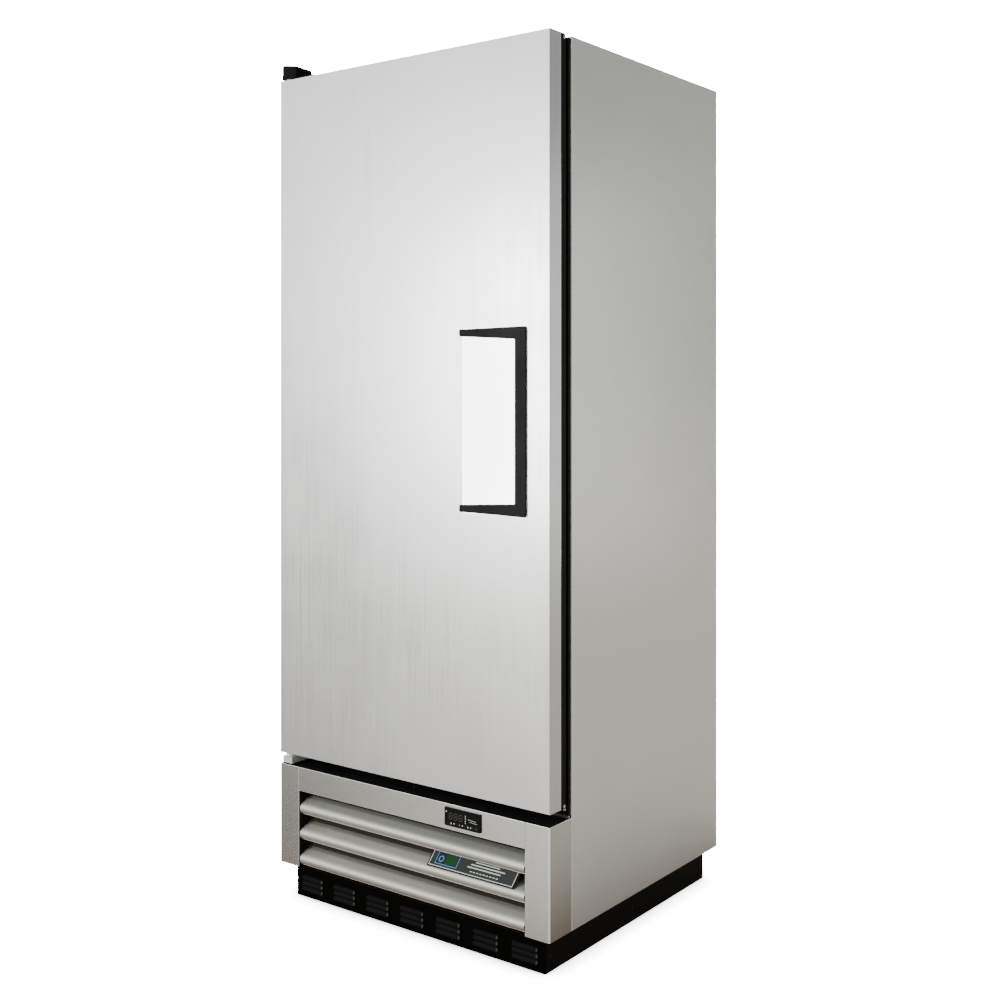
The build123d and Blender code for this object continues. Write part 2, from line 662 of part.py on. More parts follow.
def fan_blade(place, radius):
    """A four-bladed fan that runs on the motor's shaft."""
    x, y, z = place
    blade = Cylinder(0.22 * radius + 2, HUB_LENGTH)
    reach = radius - 6
    for index in range(4):
        paddle = Pos(reach / 2 + 6, 0, 0) * Rot(30, 0, 0) * Box(reach, 0.55 * radius, 1.6)
        blade += Rot(0, 0, 90 * index) * paddle
    blade &= Cylinder(radius, HUB_LENGTH + 12)
    blade -= Cylinder(SHAFT_RADIUS + PIN_CLEARANCE, HUB_LENGTH + 2)
    return Pos(x, y, z) * Rot(90, 0, 0) * blade


def evaporator_fan_motor():
    """The cold-side fan motor, hung from the ceiling."""
    x, y, z = EVAPORATOR_FAN
    hanger = block(x - 12, x + 12, y + 30, y + 50, z + 15, CAVITY_TOP - GAP)
    return fan_motor(EVAPORATOR_FAN, 22, 40, 24, hanger)


# ---- machine compartment ----

def compressor():
    """A welded hermetic can on a foot plate."""
    can = rod_z(150, 430, 84, 236, 74)
    can = fillet(can.edges().sort_by(Axis.Z)[-1], 30)
    can += block(65, 235, 345, 515, 80, 86)
    for x in (78, 222):
        for y in (358, 502):
            can += rod_z(x, y, PLINTH_TOP + 2, 81, 11)
    return can


def condenser_coil():
    """The warm-side coil, with its fan plate close behind."""
    core = coil(-240, 20, 58, 98, 74, 240, 5)
    x, _, z = CONDENSER_FAN
    plate = block(-240, 20, 100, 102, 74, 240) - rod_y(x, 99, 103, z, CONDENSER_FAN_RADIUS + 5)
    return group([core, plate])


def condenser_fan_motor():
    """The warm-side fan motor on its pedestal."""
    x, y, z = CONDENSER_FAN
    pedestal = block(x - 15, x + 15, y + 40, y + 64, PLINTH_TOP + 2, z - 20)
    pedestal += block(x - 40, x + 40, y + 30, y + 74, PLINTH_TOP + 2, PLINTH_TOP + 5)
    return fan_motor(CONDENSER_FAN, 24, 50, 32, pedestal)


def tube(points, bend):
    """A copper tube of 8 mm along straight runs with round bends."""
    path = FilletPolyline(*points, radius=bend)
    start = Plane(origin=path @ 0, z_dir=path % 0)
    return sweep(start * Circle(4), path=path)


def refrigerant_lines():
    """Discharge, liquid and suction tubes, with the filter drier in the liquid line."""
    discharge = tube([(75, 430, 173.6), (42, 430, 173.6), (42, 78, 173.6), (20.2, 78, 173.6)], 14)
    liquid = tube([(20.2, 78, 107.2), (52, 78, 107.2), (52, 250, 107.2)], 14)
    drier = rod_y(52, 250, 330, 107.2, 11)
    riser = tube([(52, 330, 107.2), (52, 560, 107.2), (52, 560, MACHINE_TOP - GAP)], 14)
    suction = tube([(150, 504.5, 150), (150, 560, 150), (150, 560, MACHINE_TOP - GAP)], 14)
    return group([discharge, liquid + drier + riser, suction])


def condensate_pan():
    """An open tray that catches meltwater."""
    pan = block(-270, -30, 400, 560, 70, 110)
    return pan - block(-268, -32, 402, 558, 72, 111)


def control_box():
    """The wiring box beside the condenser fan."""
    box = block(-280, -190, 250, 370, PLINTH_TOP + 2, 190)
    return fillet(box.edges().filter_by(Axis.Z), 4)


def gland_place():
    """Where the mains cord enters, as X and Z on the rear grille."""
    return 255, 100


def rear_grille():
    """The slotted rear cover of the machine compartment."""
    half = HALF - FOLD - 2
    cover = block(-half, half, BODY_DEPTH - 1.6, BODY_DEPTH, PLINTH_TOP + 4, MACHINE_TOP - 2)
    for row_z in (95, 170):
        for index in range(20):
            x = (index - 9.5) * 23
            cover -= block(x - 4, x + 4, BODY_DEPTH - 5, BODY_DEPTH + 1, row_z, row_z + 62)
    x, z = gland_place()
    return cover - rod_y(x, BODY_DEPTH - 5, BODY_DEPTH + 1, z, 9)


def cord_gland():
    """The grommet that the mains cord passes through."""
    x, z = gland_place()
    gland = rod_y(x, BODY_DEPTH, BODY_DEPTH + 4, z, 14)
    gland += rod_y(x, BODY_DEPTH - 10, BODY_DEPTH, z, 9 - 0.05)
    return gland - rod_y(x, BODY_DEPTH - 12, BODY_DEPTH + 6, z, 4.5)


# ---- fasteners ----

def cabinet_screws():
    """Screw heads on the ledge, breaker strip, plinth and rear grille."""
    heads = [
        rod_z(-8, 38, LEDGE_TOP, LEDGE_TOP + 1.6, 4),
        rod_y(305, FRAME_FRONT - 1.4, FRAME_FRONT, 269.5, 3.2),
    ]
    for y in (33.5, 300, 560):
        heads.append(rod_x(PLINTH_HALF, PLINTH_HALF + 1.6, y, 25.6, 4))
        heads.append(rod_x(-PLINTH_HALF - 1.6, -PLINTH_HALF, y, 25.6, 4))
    for x in (-285, -95, 95, 285):
        for z in (80, 250):
            heads.append(rod_y(x, BODY_DEPTH, BODY_DEPTH + 2, z, 4.5))
    return group([fillet(head.edges().filter_by(GeomType.CIRCLE)[:1], 0.5) for head in heads])


def door_screws():
    """Countersunk screws in the ends of the door's side channels."""
    heads = []
    for z in (DOOR_BOTTOM + 3.5, HEIGHT - 6):
        heads.append(rod_x(HALF - 2, HALF, 44, z, 3))
        heads.append(rod_x(-HALF, -HALF + 2, 44, z, 3))
    return group(heads)


def all_parts():
    """Every node's name and shape."""
    parts = {
        "side_panel_left": side_panel(-1),
        "side_panel_right": side_panel(1),
        "top_panel": top_panel(),
        "back_panel": back_panel(),
        "base_pan": base_pan(),
        "cabinet_insulation": cabinet_insulation(),
        "inner_liner": inner_liner(),
        "front_frame": front_frame(),
        "sill_trim": sill_trim(),
        "rear_bumpers": rear_bumpers(),
        "kick_plate": kick_plate(),
        "plinth_sides": plinth_sides(),
        "grille_post_left": grille_post(-1),
        "grille_post_right": grille_post(1),
        "grille_header": grille_header(),
        "grille_ledge": grille_ledge(),
        "badge_plate": badge_plate(),
        "controller_bezel": controller_bezel(),
        "controller_display": controller_display(),
        "bottom_hinge_bracket": bottom_hinge_bracket(),
        "top_hinge_bracket": top_hinge_bracket(),
        "top_hinge_cover": top_hinge_cover(),
        "door_bushings": door_bushings(),
        "door_skin": door_skin(),
        "door_insulation": door_insulation(),
        "door_channel": door_channel(),
        "door_liner": door_liner(),
        "door_gasket": door_gasket(),
        "handle_pocket": handle_pocket(),
        "handle_bezel": handle_bezel(),
        "shelf_pilasters": shelf_pilasters(),
        "shelf_clips": shelf_clips(),
        "light_housing": light_housing(),
        "light_lens": light_lens(),
        "light_switch": light_switch(),
        "evaporator_cover": evaporator_cover(),
        "evaporator_coil": coil(-200, 200, 420, 500, 1408, 1512, 4),
        "evaporator_fan_motor": evaporator_fan_motor(),
        "evaporator_fan_blade": fan_blade(EVAPORATOR_FAN, EVAPORATOR_FAN_RADIUS),
        "compressor": compressor(),
        "condenser_coil": condenser_coil(),
        "condenser_fan_motor": condenser_fan_motor(),
        "condenser_fan_blade": fan_blade(CONDENSER_FAN, CONDENSER_FAN_RADIUS),
        "refrigerant_lines": refrigerant_lines(),
        "condensate_pan": condensate_pan(),
        "control_box": control_box(),
        "rear_grille": rear_grille(),
        "cord_gland": cord_gland(),
        "cabinet_screws": cabinet_screws(),
        "door_screws": door_screws(),
    }
    for index in range(LOUVER_COUNT):
        parts[f"grille_louver_{index + 1}"] = grille_louver(index)
    for index in range(BUTTON_COUNT):
        parts[f"controller_button_{index + 1}"] = controller_button(index)
    for index, level in enumerate(SHELF_LEVELS):
        parts[f"shelf_{index + 1}"] = wire_shelf(level)
    return parts


def write_part(name, shape):
    """Write one node, moved into the part's own frame."""
    export_step(Pos(0, DOOR_FACE_Y, 0) * shape, f"parts/{name}.step")


os.makedirs("parts", exist_ok=True)
for node_name, node_shape in all_parts().items():
    write_part(node_name, node_shape)
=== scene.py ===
from math import cos, pi, radians, sin

import bmesh
import bpy
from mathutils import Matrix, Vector


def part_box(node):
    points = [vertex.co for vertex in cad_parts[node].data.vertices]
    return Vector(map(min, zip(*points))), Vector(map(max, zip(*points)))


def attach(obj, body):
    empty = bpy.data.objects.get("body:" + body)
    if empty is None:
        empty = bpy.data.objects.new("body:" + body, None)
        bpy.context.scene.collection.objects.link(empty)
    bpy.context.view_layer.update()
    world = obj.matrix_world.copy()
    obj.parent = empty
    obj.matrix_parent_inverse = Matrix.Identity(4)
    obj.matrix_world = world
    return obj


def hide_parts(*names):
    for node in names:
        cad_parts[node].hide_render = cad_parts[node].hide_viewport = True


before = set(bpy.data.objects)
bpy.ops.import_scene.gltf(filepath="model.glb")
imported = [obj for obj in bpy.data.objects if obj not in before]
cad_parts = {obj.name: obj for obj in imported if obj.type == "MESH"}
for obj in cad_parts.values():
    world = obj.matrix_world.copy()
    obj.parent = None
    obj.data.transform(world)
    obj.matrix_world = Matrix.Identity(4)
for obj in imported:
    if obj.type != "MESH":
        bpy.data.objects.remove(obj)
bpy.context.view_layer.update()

MM = 0.001

# The plane of the door's front face, in metres, read from the frame. Depths are counted back from it.
DOOR_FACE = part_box("door_skin")[0][1]

# Sockets of a Mix node, several of which share a name: two colours and their mix, then a factor, two
# numbers and their mix
COLOR_A, COLOR_B, COLOR_RESULT = 6, 7, 2
FACTOR, NUMBER_A, NUMBER_B, NUMBER_RESULT = 0, 2, 3, 0


# ---------------------------------------------------------------- materials

class Shader:
    """A Principled material under construction, with helpers that add its nodes."""

    def __init__(self, name, color, roughness, metallic=0.0):
        self.material = bpy.data.materials.new(name)
        self.material.use_nodes = True
        self.tree = self.material.node_tree
        self.shader = self.tree.nodes["Principled BSDF"]
        self.shader.inputs["Base Color"].default_value = (*color, 1.0)
        self.shader.inputs["Roughness"].default_value = roughness
        self.shader.inputs["Metallic"].default_value = metallic
        self.place = self.node("ShaderNodeTexCoord").outputs["Object"]

    def node(self, kind, **settings):
        node = self.tree.nodes.new(kind)
        for key, value in settings.items():
            setattr(node, key, value)
        return node

    def link(self, source, target):
        self.tree.links.new(source, target)

    def scaled(self, scale):
        """Object coordinates stretched by a scale: one number, or one for each axis."""
        mapping = self.node("ShaderNodeMapping")
        mapping.inputs["Scale"].default_value = scale if isinstance(scale, tuple) else (scale, scale, scale)
        self.link(self.place, mapping.inputs["Vector"])
        return mapping.outputs["Vector"]

    def noise(self, scale, detail=4.0, roughness=0.55):
        """A noise pattern between 0 and 1."""
        noise = self.node("ShaderNodeTexNoise")
        noise.inputs["Scale"].default_value = 1.0
        noise.inputs["Detail"].default_value = detail
        noise.inputs["Roughness"].default_value = roughness
        self.link(self.scaled(scale), noise.inputs["Vector"])
        return noise.outputs["Fac"]

    def cells(self, scale):
        """A cell pattern, such as zinc spangle or moulded grain."""
        cells = self.node("ShaderNodeTexVoronoi")
        cells.inputs["Scale"].default_value = 1.0
        self.link(self.scaled(scale), cells.inputs["Vector"])
        return cells

    def spread(self, value, low, high, start=0.3, end=0.7):
        """Maps a pattern's range, start..end, to low..high."""
        remap = self.node("ShaderNodeMapRange")
        for key, number in (("From Min", start), ("From Max", end), ("To Min", low), ("To Max", high)):
            remap.inputs[key].default_value = number
        self.link(value, remap.inputs["Value"])
        return remap.outputs["Result"]

    def combine(self, operation, first, second):
        maths = self.node("ShaderNodeMath", operation=operation)
        for value, target in zip((first, second), maths.inputs):
            if isinstance(value, (int, float)):
                target.default_value = value
            else:
                self.link(value, target)
        return maths.outputs["Value"]

    def tint(self, factor, dark, light):
        """Base colour between two colours by a factor."""
        mix = self.node("ShaderNodeMix", data_type="RGBA")
        mix.inputs[COLOR_A].default_value = (*dark, 1.0)
        mix.inputs[COLOR_B].default_value = (*light, 1.0)
        self.link(factor, mix.inputs["Factor"])
        self.link(mix.outputs[COLOR_RESULT], self.shader.inputs["Base Color"])
        return mix.outputs[COLOR_RESULT]

    def rough(self, factor):
        self.link(factor, self.shader.inputs["Roughness"])

    def bump(self, height, distance, strength=1.0):
        """Raises the surface by a pattern; calls stack."""
        bump = self.node("ShaderNodeBump")
        bump.inputs["Strength"].default_value = strength
        bump.inputs["Distance"].default_value = distance
        self.link(height, bump.inputs["Height"])
        normal = self.shader.inputs["Normal"]
        if normal.is_linked:
            self.link(normal.links[0].from_socket, bump.inputs["Normal"])
        self.link(bump.outputs["Normal"], normal)

    def set(self, **values):
        for key, value in values.items():
            self.shader.inputs[key.replace("_", " ")].default_value = value


def shade(color, factor):
    """A colour made darker or lighter."""
    return tuple(min(1.0, channel * factor) for channel in color)


def brushed_metal(name, color, roughness, grain=(900.0, 900.0, 5.0), wear=0.03):
    """Metal with fine brushing lines along the grain's slow axis, and faint cloudy handling marks."""
    s = Shader(name, color, roughness, metallic=1.0)
    lines = s.noise(grain, detail=3.0)
    clouds = s.noise(5.0, detail=3.0)
    s.tint(lines, shade(color, 0.94), shade(color, 1.05))
    streaks = s.spread(lines, roughness - 0.05, roughness + 0.05)
    s.rough(s.combine("ADD", streaks, s.spread(clouds, -wear, wear)))
    s.bump(lines, 0.00002, 0.25)
    return s.material


def painted_metal(name, color, roughness, metallic=0.0, peel=900.0, depth=0.00003, gloss=0.5,
                  vary=0.06):
    """Sheet metal with a coat of paint: fine orange peel and slight cloudiness."""
    s = Shader(name, color, roughness, metallic)
    s.set(Specular_IOR_Level=gloss)
    peel_noise = s.noise(peel, detail=2.0)
    clouds = s.noise(7.0, detail=4.0)
    s.tint(clouds, shade(color, 0.95), shade(color, 1.04))
    s.rough(s.spread(peel_noise, roughness - vary, roughness + vary))
    s.bump(peel_noise, depth, 0.5)
    return s.material


def painted_light_and_shade_metal(name, color, roughness, metallic):
    """Painted sheet whose colour holds painted light and shade: about its own tone at the front edge,
    painted paler a little way behind it, and painted dark with shade where it runs back under cover."""
    s = Shader(name, color, roughness, metallic)
    s.set(Specular_IOR_Level=0.12)
    depth = s.node("ShaderNodeSeparateXYZ")
    s.link(s.place, depth.inputs["Vector"])
    dust = s.noise(40.0, detail=4.0)
    grain = s.noise(1300.0, detail=2.0)
    front = s.spread(depth.outputs["Y"], low=0.7, high=1.0, start=DOOR_FACE + 0.005, end=DOOR_FACE + 0.017)
    back = s.spread(depth.outputs["Y"], low=1.0, high=0.0, start=DOOR_FACE + 0.019, end=DOOR_FACE + 0.030)
    painted_light_share = s.combine("MINIMUM", front, back)
    painted_light_mottled = s.combine("ADD", painted_light_share, s.spread(dust, -0.015, 0.015))
    # Painted shade at the back and a painted pale band behind the front, with a faint random mottle
    s.tint(painted_light_mottled, shade(color, 0.05), shade(color, 1.42))
    s.rough(s.spread(grain, roughness - 0.05, roughness + 0.05))
    s.bump(grain, 0.00001, 0.4)
    return s.material


def moulded_plastic(name, color, roughness, grain=1500.0, depth=0.00004, speck=0.05, gloss=0.5):
    """Moulded plastic with a fine grained tool texture and faint dust."""
    s = Shader(name, color, roughness)
    s.set(Specular_IOR_Level=gloss)
    cells = s.cells(grain)
    clouds = s.noise(14.0, detail=4.0)
    s.tint(clouds, shade(color, 1.0 - speck), shade(color, 1.0 + speck))
    s.rough(s.spread(clouds, roughness - 0.06, roughness + 0.08))
    s.bump(cells.outputs["Distance"], depth, 0.4)
    return s.material


def gloss_plastic(name, color, roughness=0.12, gloss=0.5, coat=0.4):
    """Polished plastic with a trace of dust and hairline scratches."""
    s = Shader(name, color, roughness)
    dust = s.noise(900.0, detail=2.0)
    scratches = s.noise((60.0, 60.0, 2600.0), detail=2.0)
    s.tint(dust, color, shade(color, 1.6))
    s.rough(s.combine("ADD", s.spread(dust, roughness - 0.03, roughness + 0.06),
                      s.spread(scratches, 0.0, 0.05, 0.6, 0.8)))
    s.set(Coat_Weight=coat, Coat_Roughness=0.06, Specular_IOR_Level=gloss)
    return s.material


def rubber(name, color, roughness=0.7, gloss=0.3):
    """Dull rubber with a fine bloom."""
    s = Shader(name, color, roughness)
    s.set(Specular_IOR_Level=gloss)
    bloom = s.noise(60.0, detail=5.0)
    grain = s.noise(2200.0, detail=2.0)
    s.tint(bloom, shade(color, 0.8), shade(color, 1.35))
    s.rough(s.spread(bloom, roughness - 0.1, roughness + 0.1))
    s.bump(grain, 0.00004, 0.4)
    return s.material


def zinc_sheet(name, color):
    """Galvanised sheet with a soft crystal spangle."""
    s = Shader(name, color, 0.42, metallic=1.0)
    spangle = s.cells(55.0)
    fine = s.noise(500.0, detail=3.0)
    value = s.node("ShaderNodeSeparateColor")
    s.link(spangle.outputs["Color"], value.inputs["Color"])
    s.tint(value.outputs["Red"], shade(color, 0.86), shade(color, 1.06))
    patches = s.spread(value.outputs["Green"], 0.32, 0.5, 0.0, 1.0)
    s.rough(s.combine("ADD", patches, s.spread(fine, -0.03, 0.03)))
    s.bump(fine, 0.00002, 0.3)
    return s.material


def foam(name, color):
    """Cut polyurethane foam."""
    s = Shader(name, color, 0.9)
    pores = s.cells(1100.0)
    clouds = s.noise(9.0)
    s.tint(clouds, shade(color, 0.88), shade(color, 1.06))
    s.rough(s.spread(clouds, 0.82, 0.95))
    s.bump(pores.outputs["Distance"], 0.0004, 0.7)
    return s.material


def finned(name, color, pitch=0.0025):
    """The edges of a stack of thin fins along X, with dark bands between them as painted shade in the gaps.
    At a scale of 1 a wave texture's bands are 0.314 apart.
    """
    band_spacing = 0.314
    s = Shader(name, color, 0.4, metallic=0.9)
    wave = s.node("ShaderNodeTexWave", wave_type="BANDS", bands_direction="X", wave_profile="SIN")
    wave.inputs["Scale"].default_value = 1.0
    s.link(s.scaled((band_spacing / pitch, 0.0, 0.0)), wave.inputs["Vector"])
    dents = s.noise(40.0, detail=3.0)
    s.tint(wave.outputs["Fac"], shade(color, 0.12), color)
    s.rough(s.spread(dents, 0.3, 0.55))
    s.bump(wave.outputs["Fac"], 0.0008, 0.8)
    return s.material


def worn_copper(name, color):
    """Copper tube with patches of tarnish."""
    s = Shader(name, color, 0.3, metallic=1.0)
    tarnish = s.noise(35.0, detail=5.0)
    s.tint(s.spread(tarnish, 0.0, 1.0, 0.4, 0.6), shade(color, 0.45), color)
    s.rough(s.spread(tarnish, 0.5, 0.24))
    return s.material


def clear_plastic(name):
    """Prismatic light shield."""
    s = Shader(name, (0.93, 0.96, 0.98), 0.18)
    ribs = s.noise((500.0, 30.0, 30.0), detail=1.0)
    s.tint(ribs, (0.88, 0.91, 0.93), (0.97, 0.98, 1.0))
    s.rough(s.spread(ribs, 0.12, 0.3))
    s.set(Transmission_Weight=0.75, IOR=1.49)
    s.bump(ribs, 0.0003, 0.6)
    return s.material


STAINLESS = brushed_metal("stainless", (0.60, 0.60, 0.595), 0.36)
SATIN = painted_metal("satin_silver", (0.53, 0.53, 0.50), 0.26, metallic=0.95, peel=1300.0,
                      depth=0.000002, vary=0.02)
# A much paler copy of the satin finish for rounded edges, a painted highlight
SATIN_HIGHLIGHT = painted_metal("satin_painted_highlight", (0.90, 0.90, 0.88), 0.32, metallic=0.5, peel=1300.0,
                           depth=0.00001)
# The louvers' colour holds painted light and painted shade, dark where they run back under cover
LOUVER = painted_light_and_shade_metal("louver_silver", (0.39, 0.39, 0.355), 0.56, metallic=0.8)
# The hems' warm brown is a painted reflection of the floor below them
HEM_WARM_REFLECTION = painted_metal("louver_hem", (0.56, 0.48, 0.43), 0.4, metallic=0.6)
# A dark grey for strips where the louver slots fall into shadow: painted shade
SHADE_GREY = painted_metal("shade_grey_paint", (0.017, 0.017, 0.013), 0.7, gloss=0.05)
BRIGHT_EDGE = brushed_metal("bright_edge", (0.86, 0.86, 0.85), 0.2, grain=(60.0, 60.0, 60.0))
SIDE_PAINT = painted_metal("side_paint", (0.68, 0.685, 0.65), 0.34, metallic=0.72)
# A paler copy of the side paint for the sides' front corners, a painted highlight
SIDE_HIGHLIGHT = painted_metal("side_painted_highlight", (0.86, 0.86, 0.84), 0.35, metallic=0.3)
ZINC = zinc_sheet("zinc_sheet", (0.62, 0.64, 0.65))
FOAM = foam("foam", (0.82, 0.72, 0.45))
LINER = brushed_metal("liner_aluminium", (0.80, 0.81, 0.81), 0.42, grain=(300.0, 300.0, 12.0))
BLACK_PLASTIC = moulded_plastic("black_plastic", (0.0045, 0.0045, 0.0048), 0.45, gloss=0.06)
COVER_PLASTIC = moulded_plastic("cover_plastic", (0.003, 0.003, 0.0033), 0.42, gloss=0.035)
GRIP_PLASTIC = moulded_plastic("grip_plastic", (0.007, 0.007, 0.0076), 0.5, gloss=0.06)
LEDGE_BLACK = painted_metal("ledge_black", (0.010, 0.010, 0.010), 0.6, gloss=0.0)
GASKET = rubber("gasket_rubber", (0.008, 0.008, 0.0085), 0.5, gloss=0.1)
RUBBER = rubber("rubber", (0.02, 0.02, 0.02))
BLACK_PAINT = painted_metal("black_paint", (0.0020, 0.0019, 0.0014), 0.3, depth=0.00005, gloss=0.013)
PLINTH_PAINT = painted_metal("plinth_paint", (0.0085, 0.0085, 0.0075), 0.3, depth=0.00005, gloss=0.06)
# The shells' black is lighter than the kick plate's, as painted light; the pale copy for their right ends is
# a painted highlight
HOOD_LIT_PAINT = painted_metal("hood_lit_paint", (0.0072, 0.0070, 0.0072), 0.5, depth=0.00002, gloss=0.012)
HOOD_HIGHLIGHT = painted_metal("hood_painted_highlight", (0.055, 0.055, 0.057), 0.4, depth=0.00002, gloss=0.1)
SHELL_PAINT = painted_metal("compressor_paint", (0.01, 0.01, 0.01), 0.3, depth=0.00006)
BADGE_RIM = painted_metal("badge_rim", (0.003, 0.004, 0.004), 0.4, gloss=0.03)
BADGE_FIELD = painted_metal("badge_field", (0.012, 0.017, 0.0145), 0.4, gloss=0.06)
BADGE_WHITE = painted_metal("badge_white", (0.55, 0.57, 0.55), 0.4, gloss=0.1)
BADGE_BLUE = painted_metal("badge_blue", (0.07, 0.20, 0.34), 0.4, gloss=0.06)
BADGE_NAVY = painted_metal("badge_navy", (0.004, 0.012, 0.024), 0.4, gloss=0.04)
BADGE_GREEN = painted_metal("badge_green", (0.0024, 0.036, 0.005), 0.4, gloss=0.04)
BADGE_SILVER = painted_metal("badge_silver", (0.48, 0.50, 0.49), 0.4, gloss=0.1)
GLOSS_BLACK = gloss_plastic("gloss_black", (0.003, 0.003, 0.003), gloss=0.06, coat=0.01)
DISPLAY = gloss_plastic("display_window", (0.0035, 0.0033, 0.0035), 0.1, gloss=0.06, coat=0.01)
SEGMENT = gloss_plastic("segment_grey", (0.035, 0.029, 0.026), 0.3, gloss=0.2, coat=0.0)
MARK = painted_metal("mark_white", (0.62, 0.62, 0.62), 0.4)
MARK_DIM = painted_metal("mark_dim", (0.20, 0.20, 0.20), 0.4, gloss=0.3)
MARK_RED = painted_metal("mark_red", (0.075, 0.028, 0.026), 0.4, gloss=0.3)
KEYS = gloss_plastic("key_black", (0.005, 0.005, 0.005), 0.22, gloss=0.1, coat=0.02)
HINGE = painted_metal("hinge_grey", (0.55, 0.555, 0.54), 0.4, metallic=0.3)
NYLON = moulded_plastic("nylon", (0.83, 0.80, 0.70), 0.4, speck=0.03)
WHITE = moulded_plastic("white_plastic", (0.90, 0.90, 0.90), 0.32, speck=0.02)
POCKET = moulded_plastic("pocket_white", (0.93, 0.93, 0.93), 0.35, speck=0.01)
CLEAR = clear_plastic("clear_plastic")
SHELF_COAT = painted_metal("shelf_coating", (0.66, 0.67, 0.66), 0.3, peel=1400.0)
FINS = finned("coil_fins", (0.72, 0.73, 0.74))
MOTOR = painted_metal("motor_paint", (0.05, 0.055, 0.06), 0.45)
BLADE = brushed_metal("fan_aluminium", (0.66, 0.67, 0.68), 0.35, grain=(90.0, 90.0, 90.0))
COPPER = worn_copper("copper", (0.80, 0.42, 0.25))
PAN = moulded_plastic("pan_plastic", (0.05, 0.05, 0.052), 0.5)
SCREW = brushed_metal("screw_zinc", (0.66, 0.66, 0.64), 0.3, grain=(700.0, 700.0, 700.0))
DARK_SCREW = brushed_metal("screw_black", (0.035, 0.035, 0.035), 0.4, grain=(700.0, 700.0, 700.0))

NODE_MATERIALS = {
    STAINLESS: "door_skin",
    SATIN: "grille_header grille_post_left grille_post_right",
    LOUVER: "grille_louver_1 grille_louver_2 grille_louver_3",
    SIDE_PAINT: "side_panel_left side_panel_right",
    ZINC: "top_panel back_panel rear_grille control_box",
    BRIGHT_EDGE: "sill_trim",
    FOAM: "cabinet_insulation door_insulation",
    LINER: "inner_liner door_liner shelf_pilasters shelf_clips evaporator_cover",
    BLACK_PLASTIC: "front_frame door_channel",
    COVER_PLASTIC: "top_hinge_cover",
    GRIP_PLASTIC: "handle_bezel",
    LEDGE_BLACK: "grille_ledge",
    GASKET: "door_gasket",
    RUBBER: "rear_bumpers cord_gland",
    BLACK_PAINT: "kick_plate base_pan top_hinge_bracket",
    PLINTH_PAINT: "plinth_sides",
    SHELL_PAINT: "compressor",
    BADGE_RIM: "badge_plate",
    GLOSS_BLACK: "controller_bezel",
    DISPLAY: "controller_display",
    KEYS: "controller_button_1 controller_button_2 controller_button_3 controller_button_4",
    HINGE: "bottom_hinge_bracket",
    NYLON: "door_bushings",
    WHITE: "light_housing light_switch",
    POCKET: "handle_pocket",
    CLEAR: "light_lens",
    SHELF_COAT: "shelf_1 shelf_2 shelf_3",
    FINS: "evaporator_coil condenser_coil",
    MOTOR: "evaporator_fan_motor condenser_fan_motor",
    BLADE: "evaporator_fan_blade condenser_fan_blade",
    COPPER: "refrigerant_lines",
    PAN: "condensate_pan",
    SCREW: "cabinet_screws door_screws",
}

# The finger pocket's white plastic glows a little, a painted highlight for the light it catches, and so
# comes out without shading
POCKET_PAINTED_GLOW = 5.0
pocket_shader = POCKET.node_tree.nodes["Principled BSDF"]
pocket_shader.inputs["Emission Color"].default_value = (1.0, 1.0, 1.0, 1.0)
pocket_shader.inputs["Emission Strength"].default_value = POCKET_PAINTED_GLOW

for material, names in NODE_MATERIALS.items():
    for name in names.split():
        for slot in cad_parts[name].material_slots:
            slot.material = material


# ---------------------------------------------------------------- mesh helpers

def at(x, y, z):
    """A point from millimetres across, back from the door's face, and up from the floor."""
    return Vector((x * MM, DOOR_FACE + y * MM, z * MM))


def crosswise(y, z, x):
    """at() for an outline of depths and heights that runs across the cabinet."""
    return at(x, y, z)


def backward(x, z, y):
    """at() for an outline drawn as seen from the front, which runs from front to back."""
    return at(x, y, z)


def skin(bm, loops, closed=False):
    """Faces between successive loops of vertices."""
    following = loops[1:] + ([loops[0]] if closed else [])
    for first, second in zip(loops, following):
        for index in range(len(first)):
            after = (index + 1) % len(first)
            bm.faces.new((first[index], first[after], second[after], second[index]))


def prism(bm, outline, place, start, end):
    """A closed solid from an outline; place(u, v, t) gives a point of it."""
    loops = [[bm.verts.new(place(u, v, t)) for u, v in outline] for t in (start, end)]
    skin(bm, loops)
    for loop in loops:
        bm.faces.new(loop)


def band(bm, outer, inner, place, start, end):
    """A closed solid between two outlines with as many points each."""
    loops = [[bm.verts.new(place(u, v, t)) for u, v in outline]
             for outline, t in ((outer, start), (outer, end), (inner, end), (inner, start))]
    skin(bm, loops, closed=True)


def rectangle(u0, u1, v0, v1):
    return [(u0, v0), (u1, v0), (u1, v1), (u0, v1)]


def turns(steps):
    """The angles of a full turn in equal steps."""
    return [2 * pi * step / steps for step in range(steps)]


def circle(u, v, radius, steps=24):
    return [(u + radius * cos(turn), v + radius * sin(turn)) for turn in turns(steps)]


def rounded(points, radius, steps=5):
    """A closed run of points whose corners are turned into curves."""
    points = [Vector(p) for p in points]
    result = []
    for index, corner in enumerate(points):
        before = points[index - 1] - corner
        after = points[(index + 1) % len(points)] - corner
        start = corner + before.normalized() * radius
        end = corner + after.normalized() * radius
        for step in range(steps + 1):
            t = step / steps
            result.append(start * (1 - t) ** 2 + corner * 2 * t * (1 - t) + end * t ** 2)
    return result


